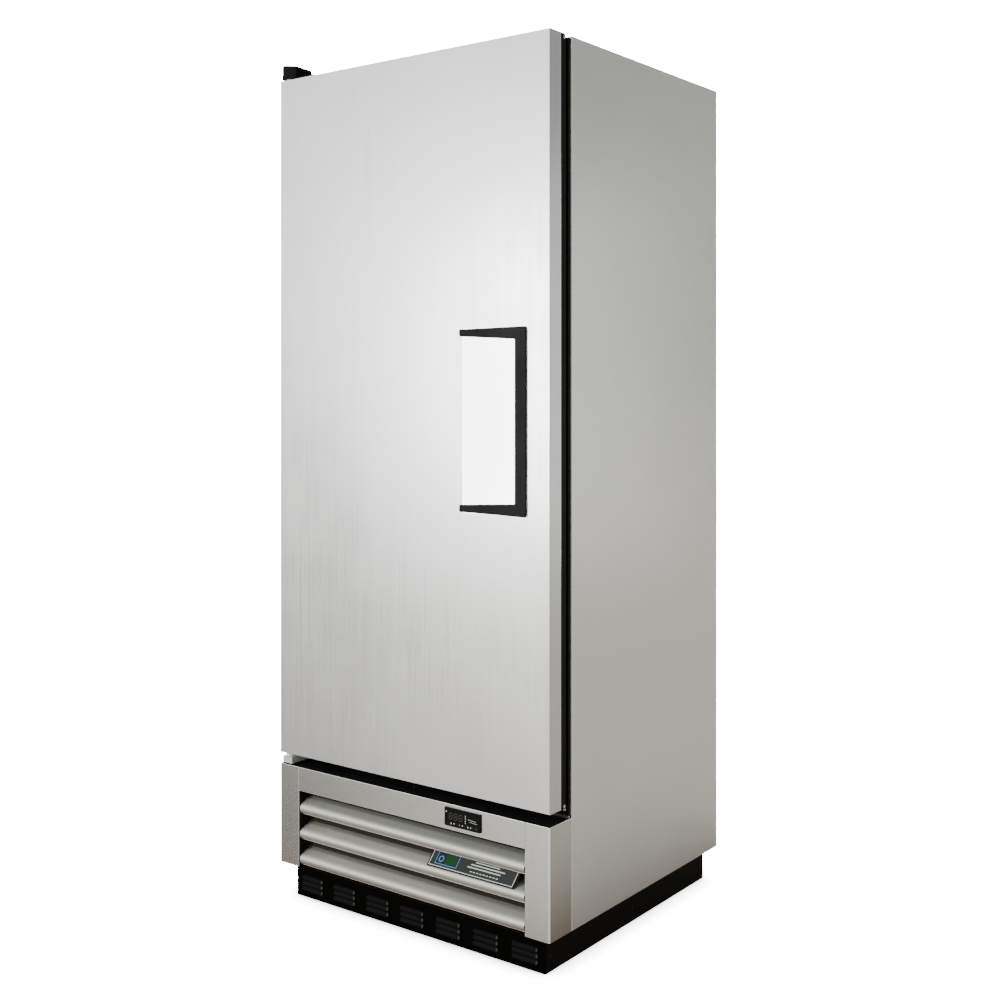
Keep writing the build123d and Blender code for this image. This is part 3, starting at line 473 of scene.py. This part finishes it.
def tube(bm, points, radius, sides=10, closed=False):
    """A round wire along points; its radius is in metres."""
    points = [Vector(p) for p in points]
    loops = []
    normal = None
    for index, point in enumerate(points):
        before = points[index - 1] if closed or index else point
        after = points[(index + 1) % len(points)] if closed or index + 1 < len(points) else point
        along = (after - before).normalized()
        normal = along.orthogonal() if normal is None else normal - along * normal.dot(along)
        normal.normalize()
        across = along.cross(normal)
        loops.append([bm.verts.new(point + (normal * cos(turn) + across * sin(turn)) * radius)
                      for turn in turns(sides)])
    skin(bm, loops, closed)
    if not closed:
        for loop in (loops[0], loops[-1]):
            bm.faces.new(loop)


def frame_ring(bm, profile, half, low, high):
    """A mitred frame round an upright rectangle, from -half to half across and from low to high. The
    profile gives insets and depths. All are in millimetres."""
    loops = []
    for side, top in ((-1, False), (1, False), (1, True), (-1, True)):
        loops.append([bm.verts.new(at(side * (half - inset), y, high - inset if top else low + inset))
                      for inset, y in profile])
    skin(bm, loops, closed=True)


def screw_head(bm, place, axis, radius, height, spokes=24, finish=0):
    """A domed head with a cross recess. Each loop of its vertices lies at a share of its radius."""
    axis = Vector(axis).normalized()
    side = axis.orthogonal().normalized()
    up = axis.cross(side)
    first_face = len(bm.faces)
    slot_reach, slot_half_width, slot_depth = 0.6, 0.13, 0.55
    shares = (0.12, 0.22, 0.34, 0.46, 0.58, 0.66, 0.76, 0.88, 0.96, 1.0, 1.0)
    loops = []
    for number, share in enumerate(shares):
        loop = []
        for turn in turns(spokes):
            u, v = share * cos(turn), share * sin(turn)
            rise = 1 - 0.45 * share ** 3 if number + 1 < len(shares) else 0.0
            if share < slot_reach and min(abs(u), abs(v)) < slot_half_width:
                rise -= slot_depth * (1 - share)
            loop.append(bm.verts.new(place + (side * u + up * v) * radius + axis * height * rise))
        loops.append(loop)
    skin(bm, loops)
    bm.faces.new(loops[0])
    bm.faces.new(loops[-1])
    bm.faces.ensure_lookup_table()
    for index in range(first_face, len(bm.faces)):
        bm.faces[index].material_index = finish


def piece(name, bm, finishes, body, replaces=(), sharp=35):
    """Makes an object from a bmesh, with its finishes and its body."""
    bmesh.ops.recalc_face_normals(bm, faces=bm.faces[:])
    mesh = bpy.data.meshes.new(name)
    bm.to_mesh(mesh)
    bm.free()
    for finish in finishes if isinstance(finishes, (list, tuple)) else [finishes]:
        mesh.materials.append(finish)
    mesh.shade_smooth()
    mesh.set_sharp_from_angle(angle=radians(sharp))
    thing = bpy.data.objects.new(name, mesh)
    bpy.context.collection.objects.link(thing)
    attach(thing, body)
    if replaces:
        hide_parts(*replaces)
    return thing


def softened(name, node, finishes, body, rounds):
    """A CAD node's shape with its sharp edges rounded. rounds holds, for each set of edges, a radius
    in millimetres, a test of an edge, and the number of the finish its rounded faces take."""
    weld, flat, sharp = 1e-6, 1, 50
    bm = bmesh.new()
    bm.from_mesh(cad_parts[node].data)
    bmesh.ops.remove_doubles(bm, verts=bm.verts[:], dist=weld)
    bmesh.ops.dissolve_limit(bm, angle_limit=radians(flat), verts=bm.verts[:], edges=bm.edges[:])
    for face in bm.faces:
        face.material_index = 0
    for radius, chosen, finish in rounds:
        edges = [edge for edge in bm.edges
                 if len(edge.link_faces) == 2 and edge.calc_face_angle() > radians(sharp) and chosen(edge)]
        bmesh.ops.bevel(bm, geom=edges, offset=radius * MM, offset_type="OFFSET", segments=3, profile=0.5,
                        affect="EDGES", clamp_overlap=True, material=finish)
    thing = piece(name, bm, finishes, body, (node,), sharp)
    thing.modifiers.new("even_normals", "WEIGHTED_NORMAL").keep_sharp = True
    return thing


def any_edge(edge):
    return True


def upright_at(x, y):
    """A test for the upright edges at a place in plan, in millimetres, on either side."""
    near = 0.3 * MM

    def test(edge):
        return all(abs(abs(v.co.x) - x * MM) < near and abs(v.co.y - at(0, y, 0).y) < near
                   for v in edge.verts)
    return test


# ---------------------------------------------------------------- cabinet pieces

# Sizes in this part are in millimetres, counted as at() counts them
HALF_WIDTH = 316
SIDE_FRONT = 66
POST_FRONT = 0

# Rounded edges take paler copies of the sheets' finishes as painted highlights: the sides' front corners,
# and every rounded edge of the posts and header
for side in ("left", "right"):
    softened("side_shell_" + side, "side_panel_" + side, [SIDE_PAINT, SIDE_HIGHLIGHT], "cabinet",
             [(2.4, upright_at(HALF_WIDTH, SIDE_FRONT), 1), (0.7, any_edge, 0)])
    softened("post_shell_" + side, "grille_post_" + side, [SATIN, SATIN_HIGHLIGHT], "cabinet",
             [(2.2, upright_at(HALF_WIDTH, POST_FRONT), 1), (0.5, any_edge, 1)])
softened("header_shell", "grille_header", [SATIN, SATIN_HIGHLIGHT], "cabinet",
         [(0.5, any_edge, 1)])


# How far each louver lies below the first, and the span of the opening that holds them
LOUVER_PITCH = 48.6
LOUVER_DROPS = (0, LOUVER_PITCH, 2 * LOUVER_PITCH)
OPENING_LOW = 68
OPENING_HIGH = 209
SHADE_STRIP_HALF = 263


def louver_shade_strips():
    """Dark strips along the louvers' back edges and under the header, put there as painted shade where the
    slots fall into shadow; the first louver's strip and the one under the header are black.
    """
    strip = [(27.2, 196.8), (29.2, 199.4), (30.7, 202.4), (30.6, 205.0), (29.0, 205.6), (27.4, 203.0)]
    under_header = rectangle(3, 24, 209.6, 210.8)
    bm = bmesh.new()
    for drop in LOUVER_DROPS[1:]:
        prism(bm, [(y, z - drop) for y, z in strip], crosswise, -SHADE_STRIP_HALF, SHADE_STRIP_HALF)
    piece("louver_shade_strips", bm, SHADE_GREY, "cabinet")
    bm = bmesh.new()
    prism(bm, strip, crosswise, -SHADE_STRIP_HALF, SHADE_STRIP_HALF)
    prism(bm, under_header, crosswise, -SHADE_STRIP_HALF, SHADE_STRIP_HALF)
    piece("header_shade_strip", bm, LEDGE_BLACK, "cabinet")


def louver_hems():
    """The rolled lower lips of the louvers, tinted warm brown as a painted reflection of the floor below."""
    half, y, height, radius = 263.5, 8.6, 166.1, 0.9
    bm = bmesh.new()
    for drop in LOUVER_DROPS:
        tube(bm, [at(-half, y, height - drop), at(half, y, height - drop)], radius * MM)
    piece("louver_hems", bm, HEM_WARM_REFLECTION, "cabinet")


def post_shade_strips():
    """Black strips on the posts' inner returns beside the louvers' ends, painted shade where the returns
    fall into shadow.
    """
    tape = rectangle(2.5, 26, OPENING_LOW, OPENING_HIGH)
    inner, outer = 264.3, 265.95
    bm = bmesh.new()
    for side in (-1, 1):
        prism(bm, tape, crosswise, side * inner, side * outer)
    piece("post_shade_strips", bm, LEDGE_BLACK, "cabinet")


def louver_shade_screen():
    """A pleated black screen behind the louvers, painted shade that darkens the gaps between them."""
    width, pleats, nearest, fold, thick = 524, 132, 37, 3, 1.0
    front = [(-width / 2 + width * i / pleats, nearest + fold * (i % 2)) for i in range(pleats + 1)]
    back = [(x, y + thick) for x, y in reversed(front)]
    bm = bmesh.new()
    prism(bm, front + back, at, OPENING_LOW, OPENING_HIGH)
    piece("louver_shade_screen", bm, BLACK_PLASTIC, "cabinet")


def frame_ribs():
    """Moulded ridges round the black breaker strips."""
    root, crest = 60.1, 59.2
    bm = bmesh.new()
    for inset in (1.2, 4.0, 6.8):
        profile = [(inset, root), (inset + 0.2, crest), (inset + 1.2, crest), (inset + 1.4, root)]
        frame_ring(bm, profile, half=313, low=260, high=1571)
    piece("frame_ribs", bm, BLACK_PLASTIC, "cabinet")


# The plinth's pressed shells: each section point is a height from the shell's middle and a rise from
# the plinth's face, and each shell's ends curve down to the face
HOOD_SECTION = [(4.4, 0.0), (4.0, 2.0), (3.0, 3.4), (1.2, 4.0), (-1.4, 4.3), (-3.2, 4.3), (-4.1, 3.6),
                (-4.4, 1.8), (-4.4, 0.0)]
HOOD_FACE = 22.35
HOOD_REACH = 27.5
HOOD_END = 4.7
HOOD_LEAST_SHARE = 0.04
HOOD_GROUPS = 7
HOOD_GROUP_PITCH = 83.4
HOOD_ROW_PITCH = 10.5
HOOD_MIDDLE = 27
HOOD_HIGHLIGHT_REACH = 3.2
HOOD_HIGHLIGHT_DEPTH = 20.8


def plinth_hoods():
    """The pressed shells of the plinth's slots: seven groups of three, in a black lighter than the kick
    plate's as painted light, and pale at their right ends as a painted highlight.
    """
    bm = bmesh.new()
    steps = 8
    ends = [(HOOD_REACH - HOOD_END * (1 - sin(turn)), max(HOOD_LEAST_SHARE, cos(turn)))
            for turn in (pi / 2 * step / steps for step in range(steps, -1, -1))]
    spans = [(-u, share) for u, share in ends] + [(u, share) for u, share in reversed(ends)]
    for group in range(-(HOOD_GROUPS // 2), HOOD_GROUPS // 2 + 1):
        for row in (-1, 0, 1):
            x, z = group * HOOD_GROUP_PITCH, HOOD_MIDDLE + row * HOOD_ROW_PITCH
            loops = []
            for u, share in spans:
                loops.append([bm.verts.new(at(x + u, HOOD_FACE - rise * share, z + v * share))
                              for v, rise in HOOD_SECTION])
            skin(bm, loops)
            bm.faces.new(loops[0])
            bm.faces.new(loops[-1])
    # The right ends of the shells take the pale finish, a painted highlight
    for face in bm.faces:
        middle = face.calc_center_median()
        group_share = (middle.x / MM / HOOD_GROUP_PITCH + HOOD_GROUPS / 2) % 1
        along = (group_share - 0.5) * HOOD_GROUP_PITCH
        if along > HOOD_REACH - HOOD_HIGHLIGHT_REACH and middle.y < at(0, HOOD_HIGHLIGHT_DEPTH, 0).y:
            face.material_index = 1
    piece("plinth_hoods", bm, [HOOD_LIT_PAINT, HOOD_HIGHLIGHT], "cabinet", sharp=60)


def cabinet_screw_heads():
    """Heads on the ledge, the breaker frame, the plinth's sides and the back sheet."""
    bm = bmesh.new()
    screw_head(bm, at(-8, 38, 255), (0, 0, 1), 4 * MM, 1.6 * MM, finish=1)
    screw_head(bm, at(305, 60, 269.5), (0, -1, 0), 3.2 * MM, 1.6 * MM)
    for y in (33.5, 300, 560):
        for side in (-1, 1):
            screw_head(bm, at(side * 292.35, y, 25.6), (side, 0, 0), 4 * MM, 1.6 * MM, finish=1)
    for x in (-285, -95, 95, 285):
        for z in (80, 250):
            screw_head(bm, at(x, 588, z), (0, 1, 0), 4.5 * MM, 2 * MM)
    piece("cabinet_screw_heads", bm, [SCREW, DARK_SCREW], "cabinet", ("cabinet_screws",))


def door_screw_heads():
    """Heads on the door channel's sides, near its top and bottom."""
    bm = bmesh.new()
    for side in (-1, 1):
        for z in (280.5, 1568):
            screw_head(bm, at(side * 315, 44, z), (side, 0, 0), 3 * MM, 1.2 * MM)
    piece("door_screw_heads", bm, SCREW, "door", ("door_screws",))


def hinge_cap():
    """The moulded cap over the top hinge: soft edges, and a top that falls away from the corner."""
    left, right, front, back = -315.6, -275, 2.2, 47
    corner_x, corner_top, fall_across, fall_back = -315, 1606.4, 0.17, 0.04
    ceiling, rim = 1590, 1577
    bend, least_bend = 4.5, 1.5
    bm = bmesh.new()

    def loop(inset, drop=None, level=None):
        """A loop of vertices inside the cap's outline, at a drop below its top or at one level."""
        plan = rectangle(left + inset, right - inset, front + inset, back - inset)
        verts = []
        for p in rounded([(x, y, 0) for x, y in plan], max(least_bend, bend - 0.5 * inset)):
            top = corner_top - fall_across * (p.x - corner_x) - fall_back * p.y
            verts.append(bm.verts.new(at(p.x, p.y, level if drop is None else top - drop)))
        return verts

    loops = [loop(2.2, level=ceiling), loop(2.2, level=rim), loop(0, level=rim), loop(0.5, drop=5),
             loop(1.0, drop=2.6), loop(1.9, drop=1.1), loop(3.4, drop=0.3), loop(6, drop=0)]
    skin(bm, loops)
    bm.faces.new(loops[0])
    bm.faces.new(loops[-1])
    piece("hinge_cap", bm, COVER_PLASTIC, "cabinet", ("top_hinge_cover",), sharp=50)


def hinge_bolts():
    """Bolt heads on the lower hinge bracket and the upper one."""
    bm = bmesh.new()
    for x in (-283, -270):
        screw_head(bm, at(x, 56, 267.5), (0, -1, 0), 4 * MM, 2.4 * MM)
    for x in (-298, -258):
        for y in (92, 124):
            screw_head(bm, at(x, y, 1580), (0, 0, 1), 5 * MM, 3 * MM)
    piece("hinge_bolts", bm, SCREW, "cabinet")


louver_shade_strips()
louver_hems()
post_shade_strips()
louver_shade_screen()
frame_ribs()
plinth_hoods()
cabinet_screw_heads()
door_screw_heads()
hinge_cap()
hinge_bolts()


# ---------------------------------------------------------------- door pieces

def door_hem():
    """The bright turned edge at the back of the stainless pan."""
    front, back, proud, deep = 31.9, 33.05, -0.15, 1.0
    bm = bmesh.new()
    profile = [(proud, front), (proud, back), (deep, back), (deep, front)]
    frame_ring(bm, profile, half=HALF_WIDTH, low=277, high=1574)
    piece("door_hem", bm, BRIGHT_EDGE, "door")


def gasket_bellows():
    """The door gasket, folded like a bellows and mitred at its corners."""
    folds = [(0.9, 48.1), (0, 49.6), (1.9, 51.2), (0, 52.9), (1.9, 54.6), (0, 56.4), (0.3, 58.9),
             (1.2, 59.7)]
    width = 18
    bm = bmesh.new()
    profile = folds + [(width - inset, y) for inset, y in reversed(folds)]
    frame_ring(bm, profile, half=302, low=288, high=1562)
    piece("gasket_bellows", bm, GASKET, "door", ("door_gasket",), sharp=60)


door_hem()
gasket_bellows()


# ---------------------------------------------------------------- badge and controller

BADGE_LEFT, BADGE_BOTTOM, BADGE_WIDTH, BADGE_HEIGHT, BADGE_LEAN = 49.5, 136.7, 190, 30, 10
BADGE_FRONT = 3
BADGE_TILT = radians(19)


def on_badge(s, t, proud):
    """A point on the leaning, tilted badge: along it, up it, and out from its face."""
    x = BADGE_LEFT + s + BADGE_LEAN * t / BADGE_HEIGHT
    y = BADGE_FRONT - proud * cos(BADGE_TILT) + t * sin(BADGE_TILT)
    return at(x, y, BADGE_BOTTOM + proud * sin(BADGE_TILT) + t * cos(BADGE_TILT))


def badge_details():
    """The badge's dark field, pale border, outlined window, and plain bars and ticks."""

    def layer(name, finish, outer, inner=None, proud=0.2):
        bm = bmesh.new()
        if inner:
            band(bm, outer, inner, on_badge, 0.0, proud)
        else:
            prism(bm, outer, on_badge, 0.0, proud)
        piece("badge_" + name, bm, finish, "cabinet")

    right, top = BADGE_WIDTH, BADGE_HEIGHT - 0.2
    # The field and border sit further in on the right, so the black rim shows wider there: partly the
    # badge's own dark rim, partly a painted shadow of its side
    layer("field", BADGE_FIELD, rectangle(3.6, right - 5.2, 3.5, top), proud=0.12)
    border = [(2.6, top), (2.6, 2.5), (right - 4.2, 2.5), (right - 4.2, top),
              (right - 5.3, top), (right - 5.3, 3.6), (3.7, 3.6), (3.7, top)]
    layer("border", BADGE_WHITE, border, proud=0.25)
    layer("window", BADGE_NAVY, rectangle(15, 61, 8, 28), proud=0.18)
    layer("window_line", BADGE_BLUE, rectangle(14, 62, 7, 29), rectangle(15.3, 60.7, 8.3, 27.7), proud=0.26)
    layer("window_ring", BADGE_BLUE, circle(24.5, 16.5, 5.6), circle(24.5, 16.5, 3.7), proud=0.3)
    layer("window_patch", BADGE_GREEN, rectangle(34.5, 57.5, 10.3, 25.6), proud=0.24)
    bm = bmesh.new()
    for s0, s1, t0, t1 in ((96, 148, 24.8, 26.5), (89, 161, 19.8, 21.7), (83, 154, 14.8, 16.7)):
        prism(bm, rectangle(s0, s1, t0, t1), on_badge, 0.0, 0.4)
    piece("badge_bars", bm, BADGE_SILVER, "cabinet")
    ticks, tick_pitch = 9, 7
    bm = bmesh.new()
    for index in range(ticks):
        shift = index * tick_pitch
        prism(bm, rectangle(92 + shift, 96.5 + shift, 8.2, 9.6), on_badge, 0.0, 0.25)
    piece("badge_ticks", bm, BADGE_SILVER, "cabinet")


# Depths of the controller's window, case and keys, whose marks stand a little proud of them
WINDOW_FACE = -2.55
CASE_FACE = -2.4
KEY_FACE = -2.9

DIGIT_XS = (108.6, 119.7, 130.7)
DIGIT_Z = 236.0

# The strokes of a seven-segment figure: x and z of both ends, in half widths and half heights
SEGMENTS = [(-1, 1, 1, 1), (-1, 0, 1, 0), (-1, -1, 1, -1), (-1, 1, -1, 0), (1, 1, 1, 0), (-1, 0, -1, -1),
            (1, 0, 1, -1)]


def controller_digits():
    """Three unlit seven-segment figures on the window."""
    bm = bmesh.new()
    half_width, half_height, lean, thick, gap = 3.4, 5.4, 0.5, 0.75, 0.55
    for middle in DIGIT_XS:
        for x0, z0, x1, z1 in SEGMENTS:
            start = Vector((middle + x0 * half_width + z0 * lean, DIGIT_Z + z0 * half_height))
            end = Vector((middle + x1 * half_width + z1 * lean, DIGIT_Z + z1 * half_height))
            along = (end - start).normalized()
            across = Vector((-along.y, along.x)) * thick
            start, end = start + along * gap, end - along * gap
            outline = [start, start + along * thick + across, end - along * thick + across, end,
                       end - along * thick - across, start + along * thick - across]
            prism(bm, [tuple(p) for p in outline], backward, WINDOW_FACE, WINDOW_FACE - 0.11)
    piece("controller_digits", bm, SEGMENT, "cabinet")


def controller_marks():
    """The indicator, the column of symbols, two plain bars, the dots between the keys and the keys'
    own marks."""
    bm = bmesh.new()
    prism(bm, circle(99.2, 242.6, 1.25, 16), backward, WINDOW_FACE, WINDOW_FACE - 0.2)
    for z in (242.0, 238.9, 235.8, 232.6, 229.6):
        prism(bm, circle(141.4, z, 0.85, 12), backward, WINDOW_FACE, WINDOW_FACE - 0.13)
    piece("controller_symbols", bm, MARK, "cabinet")
    bm = bmesh.new()
    for x0, x1, z0, z1 in ((147, 164, 236.4, 237.9), (150, 167, 232.9, 234.2)):
        lean = 1.2
        outline = [(x0, z0), (x1, z0 - lean), (x1, z1 - lean), (x0, z1)]
        prism(bm, outline, backward, WINDOW_FACE, WINDOW_FACE - 0.13)
    piece("controller_bars", bm, MARK_DIM, "cabinet")
    bm = bmesh.new()
    for x in (116.1, 134.6, 153.1):
        prism(bm, circle(x, 223.9, 1.05, 14), backward, CASE_FACE, CASE_FACE - 0.22)
    piece("controller_dots", bm, MARK, "cabinet")
    key_marks = ((110.2, MARK), (128.7, MARK_DIM), (147.2, MARK), (165.4, MARK_RED))
    for number, (x, finish) in enumerate(key_marks, 1):
        bm = bmesh.new()
        prism(bm, rectangle(x - 0.7, x + 0.7, 222.3, 225.2), backward, KEY_FACE, KEY_FACE - 0.18)
        piece("key_mark_%d" % number, bm, finish, "button_%d" % number)


badge_details()
controller_digits()
controller_marks()


# ---------------------------------------------------------------- inside

SHELF_LEVELS = (583, 853, 1123)
FAN_HEIGHT = 1460
LINER_HALF, LINER_BACK, LINER_FLOOR = 267.9, 536.9, 312.1


def wire_shelf(number, level):
    """A shelf of round coated wire: a frame with bent corners, two cross bars and fine wires."""
    half, front, back, bend, rod = 254, 86, 520, 16, 3
    spaces, wire = 28, 1.7
    name = "shelf_%d" % number
    bm = bmesh.new()
    z = level + 3.3
    corners = [at(x, y, z) for x, y in rectangle(-half, half, front, back)]
    tube(bm, rounded(corners, bend * MM), rod * MM, 12, closed=True)
    for y in (231, 375):
        tube(bm, [at(-half, y, z), at(half, y, z)], rod * MM, 12)
    top = level + 8.0
    for space in range(1, spaces):
        x = -half + space * 2 * half / spaces
        points = [(522, top), (92, top), (86.5, top - 0.6), (83.2, top - 2.6), (81.6, top - 6.5)]
        tube(bm, [at(x, y, height) for y, height in points], wire * MM, 8)
    piece("shelf_rack_%d" % number, bm, SHELF_COAT, name, (name,))


def fan_guard():
    """Wire rings and four bent spokes in front of the evaporator fan."""
    spoke = ((6, 297.8), (60, 297.8), (64, 299.6))
    bm = bmesh.new()
    for radius in (12, 22, 32, 42, 52, 60):
        ring = [at(radius * cos(turn), 296.5, FAN_HEIGHT + radius * sin(turn)) for turn in turns(40)]
        tube(bm, ring, 1.1 * MM, 8, closed=True)
    for quarter in range(4):
        turn = pi / 4 + quarter * pi / 2
        points = [at(radius * cos(turn), y, FAN_HEIGHT + radius * sin(turn)) for radius, y in spoke]
        tube(bm, points, 1.4 * MM, 8)
    piece("fan_guard", bm, SHELF_COAT, "cabinet")


def liner_coves():
    """Rounded corners of the cold compartment: two uprights at the back and three along the floor."""
    bm = bmesh.new()
    radius, steps = 14, 8
    bends = [step * pi / (2 * steps) for step in range(steps + 1)]
    outline = [(0, 0)] + [(radius - radius * sin(bend), radius - radius * cos(bend)) for bend in bends]
    for side in (-1, 1):
        prism(bm, outline, lambda u, v, z: at(side * (LINER_HALF - u), LINER_BACK - v, z), 312, 1520)
        prism(bm, outline, lambda u, v, y: at(side * (LINER_HALF - u), y, LINER_FLOOR + v), 66.5, 536.5)
    prism(bm, outline, lambda u, v, x: at(x, LINER_BACK - u, LINER_FLOOR + v), -266, 266)
    piece("liner_coves", bm, LINER, "cabinet", sharp=60)


for shelf_number, shelf_level in enumerate(SHELF_LEVELS, 1):
    wire_shelf(shelf_number, shelf_level)
fan_guard()
liner_coves()


# ---------------------------------------------------------------- back and machine compartment

def back_beads():
    """Stiffening beads pressed into the back sheet."""
    half_width, height, steps, back = 5, 2.6, 8, 587.9
    bends = [step * pi / steps for step in range(steps + 1)]
    arc = [(half_width * cos(bend), height * sin(bend)) for bend in bends]
    bm = bmesh.new()
    for z in (560, 905, 1250):
        prism(bm, arc, lambda u, v, x: at(x, back + v, z + u), -270, 270)
    piece("back_beads", bm, ZINC, "cabinet")


def compressor_details():
    """The can's weld seam and its terminal cover."""
    middle_x, middle_y, height, radius = 150, 430, 160, 74.4
    seam = [at(middle_x + radius * cos(turn), middle_y + radius * sin(turn), height) for turn in turns(48)]
    bm = bmesh.new()
    tube(bm, seam, 2.2 * MM, closed=True)
    piece("compressor_seam", bm, SHELL_PAINT, "cabinet")
    bm = bmesh.new()
    corners = [(x, z, 0) for x, z in rectangle(212, 248, 165, 210)]
    prism(bm, [(p.x, p.y) for p in rounded(corners, 6)], backward, 404, 452)
    piece("compressor_terminal_cover", bm, PAN, "cabinet")


back_beads()
compressor_details()


# ---------------------------------------------------------------- stage, light and camera

# Strengths of the room, as the camera sees it and as it lights the object from its dim and bright sides,
# and the way to its bright side
BACKDROP = 30.0
ROOM_DIM = 0.38
ROOM_BRIGHT = 2.0
ROOM_BRIGHT_SIDE = (-0.75, -0.66, 0.0)

# The floor's colours as a reflector, which paint shade at its left and a brown contact shadow near the
# cabinet, its glow to the camera, its sizes in metres and its painted contact shade
FLOOR_DARK = (0.06, 0.056, 0.05)
FLOOR_LIGHT = (0.62, 0.59, 0.53)
FLOOR_SHADOW_BROWN = (0.138, 0.071, 0.038)
FLOOR_GLOW = 24.0
FLOOR_HALF = 30
FLOOR_FRONT = -0.3
FLOOR_SLANT = 0.8
FLOOR_SLANT_FROM = 0.845
CABINET_HALF_X = 0.32
CABINET_HALF_Y = 0.30
CONTACT_SHADE = 2.0
CONTACT_REACH = 0.07


def stage_floor():
    """A pale floor: white to the camera with a faint painted contact shade, and warm grey as a reflector,
    with painted shade darker at the left and a painted brown contact shadow close to the cabinet."""
    s = Shader("floor", FLOOR_LIGHT, 0.6)
    mottle = s.spread(s.noise(3.0), -0.04, 0.04)
    parts = s.node("ShaderNodeSeparateXYZ")
    s.link(s.place, parts.inputs["Vector"])
    x, y = parts.outputs["X"], parts.outputs["Y"]
    # Painted shade in the reflector's colour: darker towards the left, most of all near the front left
    ahead = s.combine("ADD", s.combine("MINIMUM", y, FLOOR_FRONT), FLOOR_SLANT_FROM)
    slant = s.combine("SUBTRACT", x, s.combine("MULTIPLY", ahead, FLOOR_SLANT))
    across = s.spread(slant, low=0.3, high=1.0, start=-0.95, end=0.15)
    near = s.spread(y, low=0.0, high=0.38, start=-1.2, end=-0.9)
    left = s.spread(slant, low=1.0, high=0.0, start=-0.85, end=0.1)
    light = s.combine("SUBTRACT", across, s.combine("MULTIPLY", near, left))
    grey = s.tint(s.combine("ADD", light, mottle), FLOOR_DARK, FLOOR_LIGHT)
    beside = s.combine("SUBTRACT", s.combine("ABSOLUTE", x, 0.0), CABINET_HALF_X)
    before = s.combine("SUBTRACT", s.combine("ABSOLUTE", y, 0.0), CABINET_HALF_Y)
    close = s.spread(s.combine("MAXIMUM", beside, before), low=1.0, high=0.0, start=0.04, end=0.34)
    # A painted brown contact shadow in the reflector close to the cabinet
    warm = s.node("ShaderNodeMix", data_type="RGBA")
    warm.inputs[COLOR_B].default_value = (*FLOOR_SHADOW_BROWN, 1.0)
    s.link(close, warm.inputs["Factor"])
    s.link(grey, warm.inputs[COLOR_A])
    s.link(warm.outputs[COLOR_RESULT], s.shader.inputs["Base Color"])
    # A painted contact shade in the floor's glow to the camera
    contact = s.node("ShaderNodeAmbientOcclusion")
    contact.inputs["Distance"].default_value = CONTACT_REACH
    glow = s.spread(contact.outputs["AO"], CONTACT_SHADE, FLOOR_GLOW, start=0.4, end=1.0)
    seen = s.node("ShaderNodeLightPath").outputs["Is Camera Ray"]
    s.shader.inputs["Emission Color"].default_value = (1.0, 1.0, 1.0, 1.0)
    s.link(s.combine("MULTIPLY", seen, glow), s.shader.inputs["Emission Strength"])
    corners = [(x, y, 0) for x, y in rectangle(-FLOOR_HALF, FLOOR_HALF, -FLOOR_HALF, FLOOR_HALF)]
    mesh = bpy.data.meshes.new("floor")
    mesh.from_pydata(corners, [], [(0, 1, 2, 3)])
    mesh.materials.append(s.material)
    floor = bpy.data.objects.new("floor", mesh)
    bpy.context.collection.objects.link(floor)


def studio_world():
    """A white room, brighter at the front left than at the back right."""
    world = bpy.data.worlds.new("studio")
    world.use_nodes = True
    tree = world.node_tree
    background = tree.nodes["Background"]
    background.inputs["Color"].default_value = (1.0, 1.0, 1.0, 1.0)
    direction = tree.nodes.new("ShaderNodeTexCoord").outputs["Generated"]
    toward = tree.nodes.new("ShaderNodeVectorMath")
    toward.operation = "DOT_PRODUCT"
    toward.inputs[1].default_value = ROOM_BRIGHT_SIDE
    tree.links.new(direction, toward.inputs[0])
    room = tree.nodes.new("ShaderNodeMapRange")
    for key, value in (("From Min", -1.0), ("From Max", 1.0), ("To Min", ROOM_DIM), ("To Max", ROOM_BRIGHT)):
        room.inputs[key].default_value = value
    tree.links.new(toward.outputs["Value"], room.inputs["Value"])
    seen = tree.nodes.new("ShaderNodeLightPath").outputs["Is Camera Ray"]
    strength = tree.nodes.new("ShaderNodeMix")
    strength.data_type = "FLOAT"
    strength.inputs[NUMBER_B].default_value = BACKDROP
    tree.links.new(seen, strength.inputs[FACTOR])
    tree.links.new(room.outputs["Result"], strength.inputs[NUMBER_A])
    tree.links.new(strength.outputs[NUMBER_RESULT], background.inputs["Strength"])
    bpy.context.scene.world = world


def softbox(name, place, target, size, brightness):
    """A rectangular soft light aimed at a point; brightness is its own surface brightness."""
    data = bpy.data.lights.new(name, "AREA")
    data.shape = "RECTANGLE"
    data.size, data.size_y = size
    data.energy = brightness * pi * size[0] * size[1]
    lamp = bpy.data.objects.new(name, data)
    lamp.location = place
    lamp.rotation_euler = (Vector(target) - Vector(place)).to_track_quat("-Z", "Y").to_euler()
    lamp.visible_camera = False
    bpy.context.collection.objects.link(lamp)


# The camera looks level: its place in metres, its turn, its lens in millimetres, and its shift
CAMERA_PLACE = (1.55241, DOOR_FACE - 1.7938, 0.97921)
CAMERA_TURN = radians(37.28)
CAMERA_LENS = 47.586
CAMERA_SHIFT = (0.01276, -0.11114)

stage_floor()
studio_world()
softbox("key", place=(-1.2, -2.73, 1.08), target=(0.24, -0.3, 1.0), size=(0.5, 0.9), brightness=42.0)
softbox("side_fill", place=(1.5, 1.2, 1.04), target=(0.32, -0.2, 1.05), size=(0.75, 1.2), brightness=1.05)

camera_data = bpy.data.cameras.new("camera")
camera_data.lens = CAMERA_LENS
camera_data.shift_x, camera_data.shift_y = CAMERA_SHIFT
camera = bpy.data.objects.new("camera", camera_data)
camera.location = CAMERA_PLACE
camera.rotation_euler = (radians(90), 0, CAMERA_TURN)
bpy.context.collection.objects.link(camera)
bpy.context.scene.camera = camera
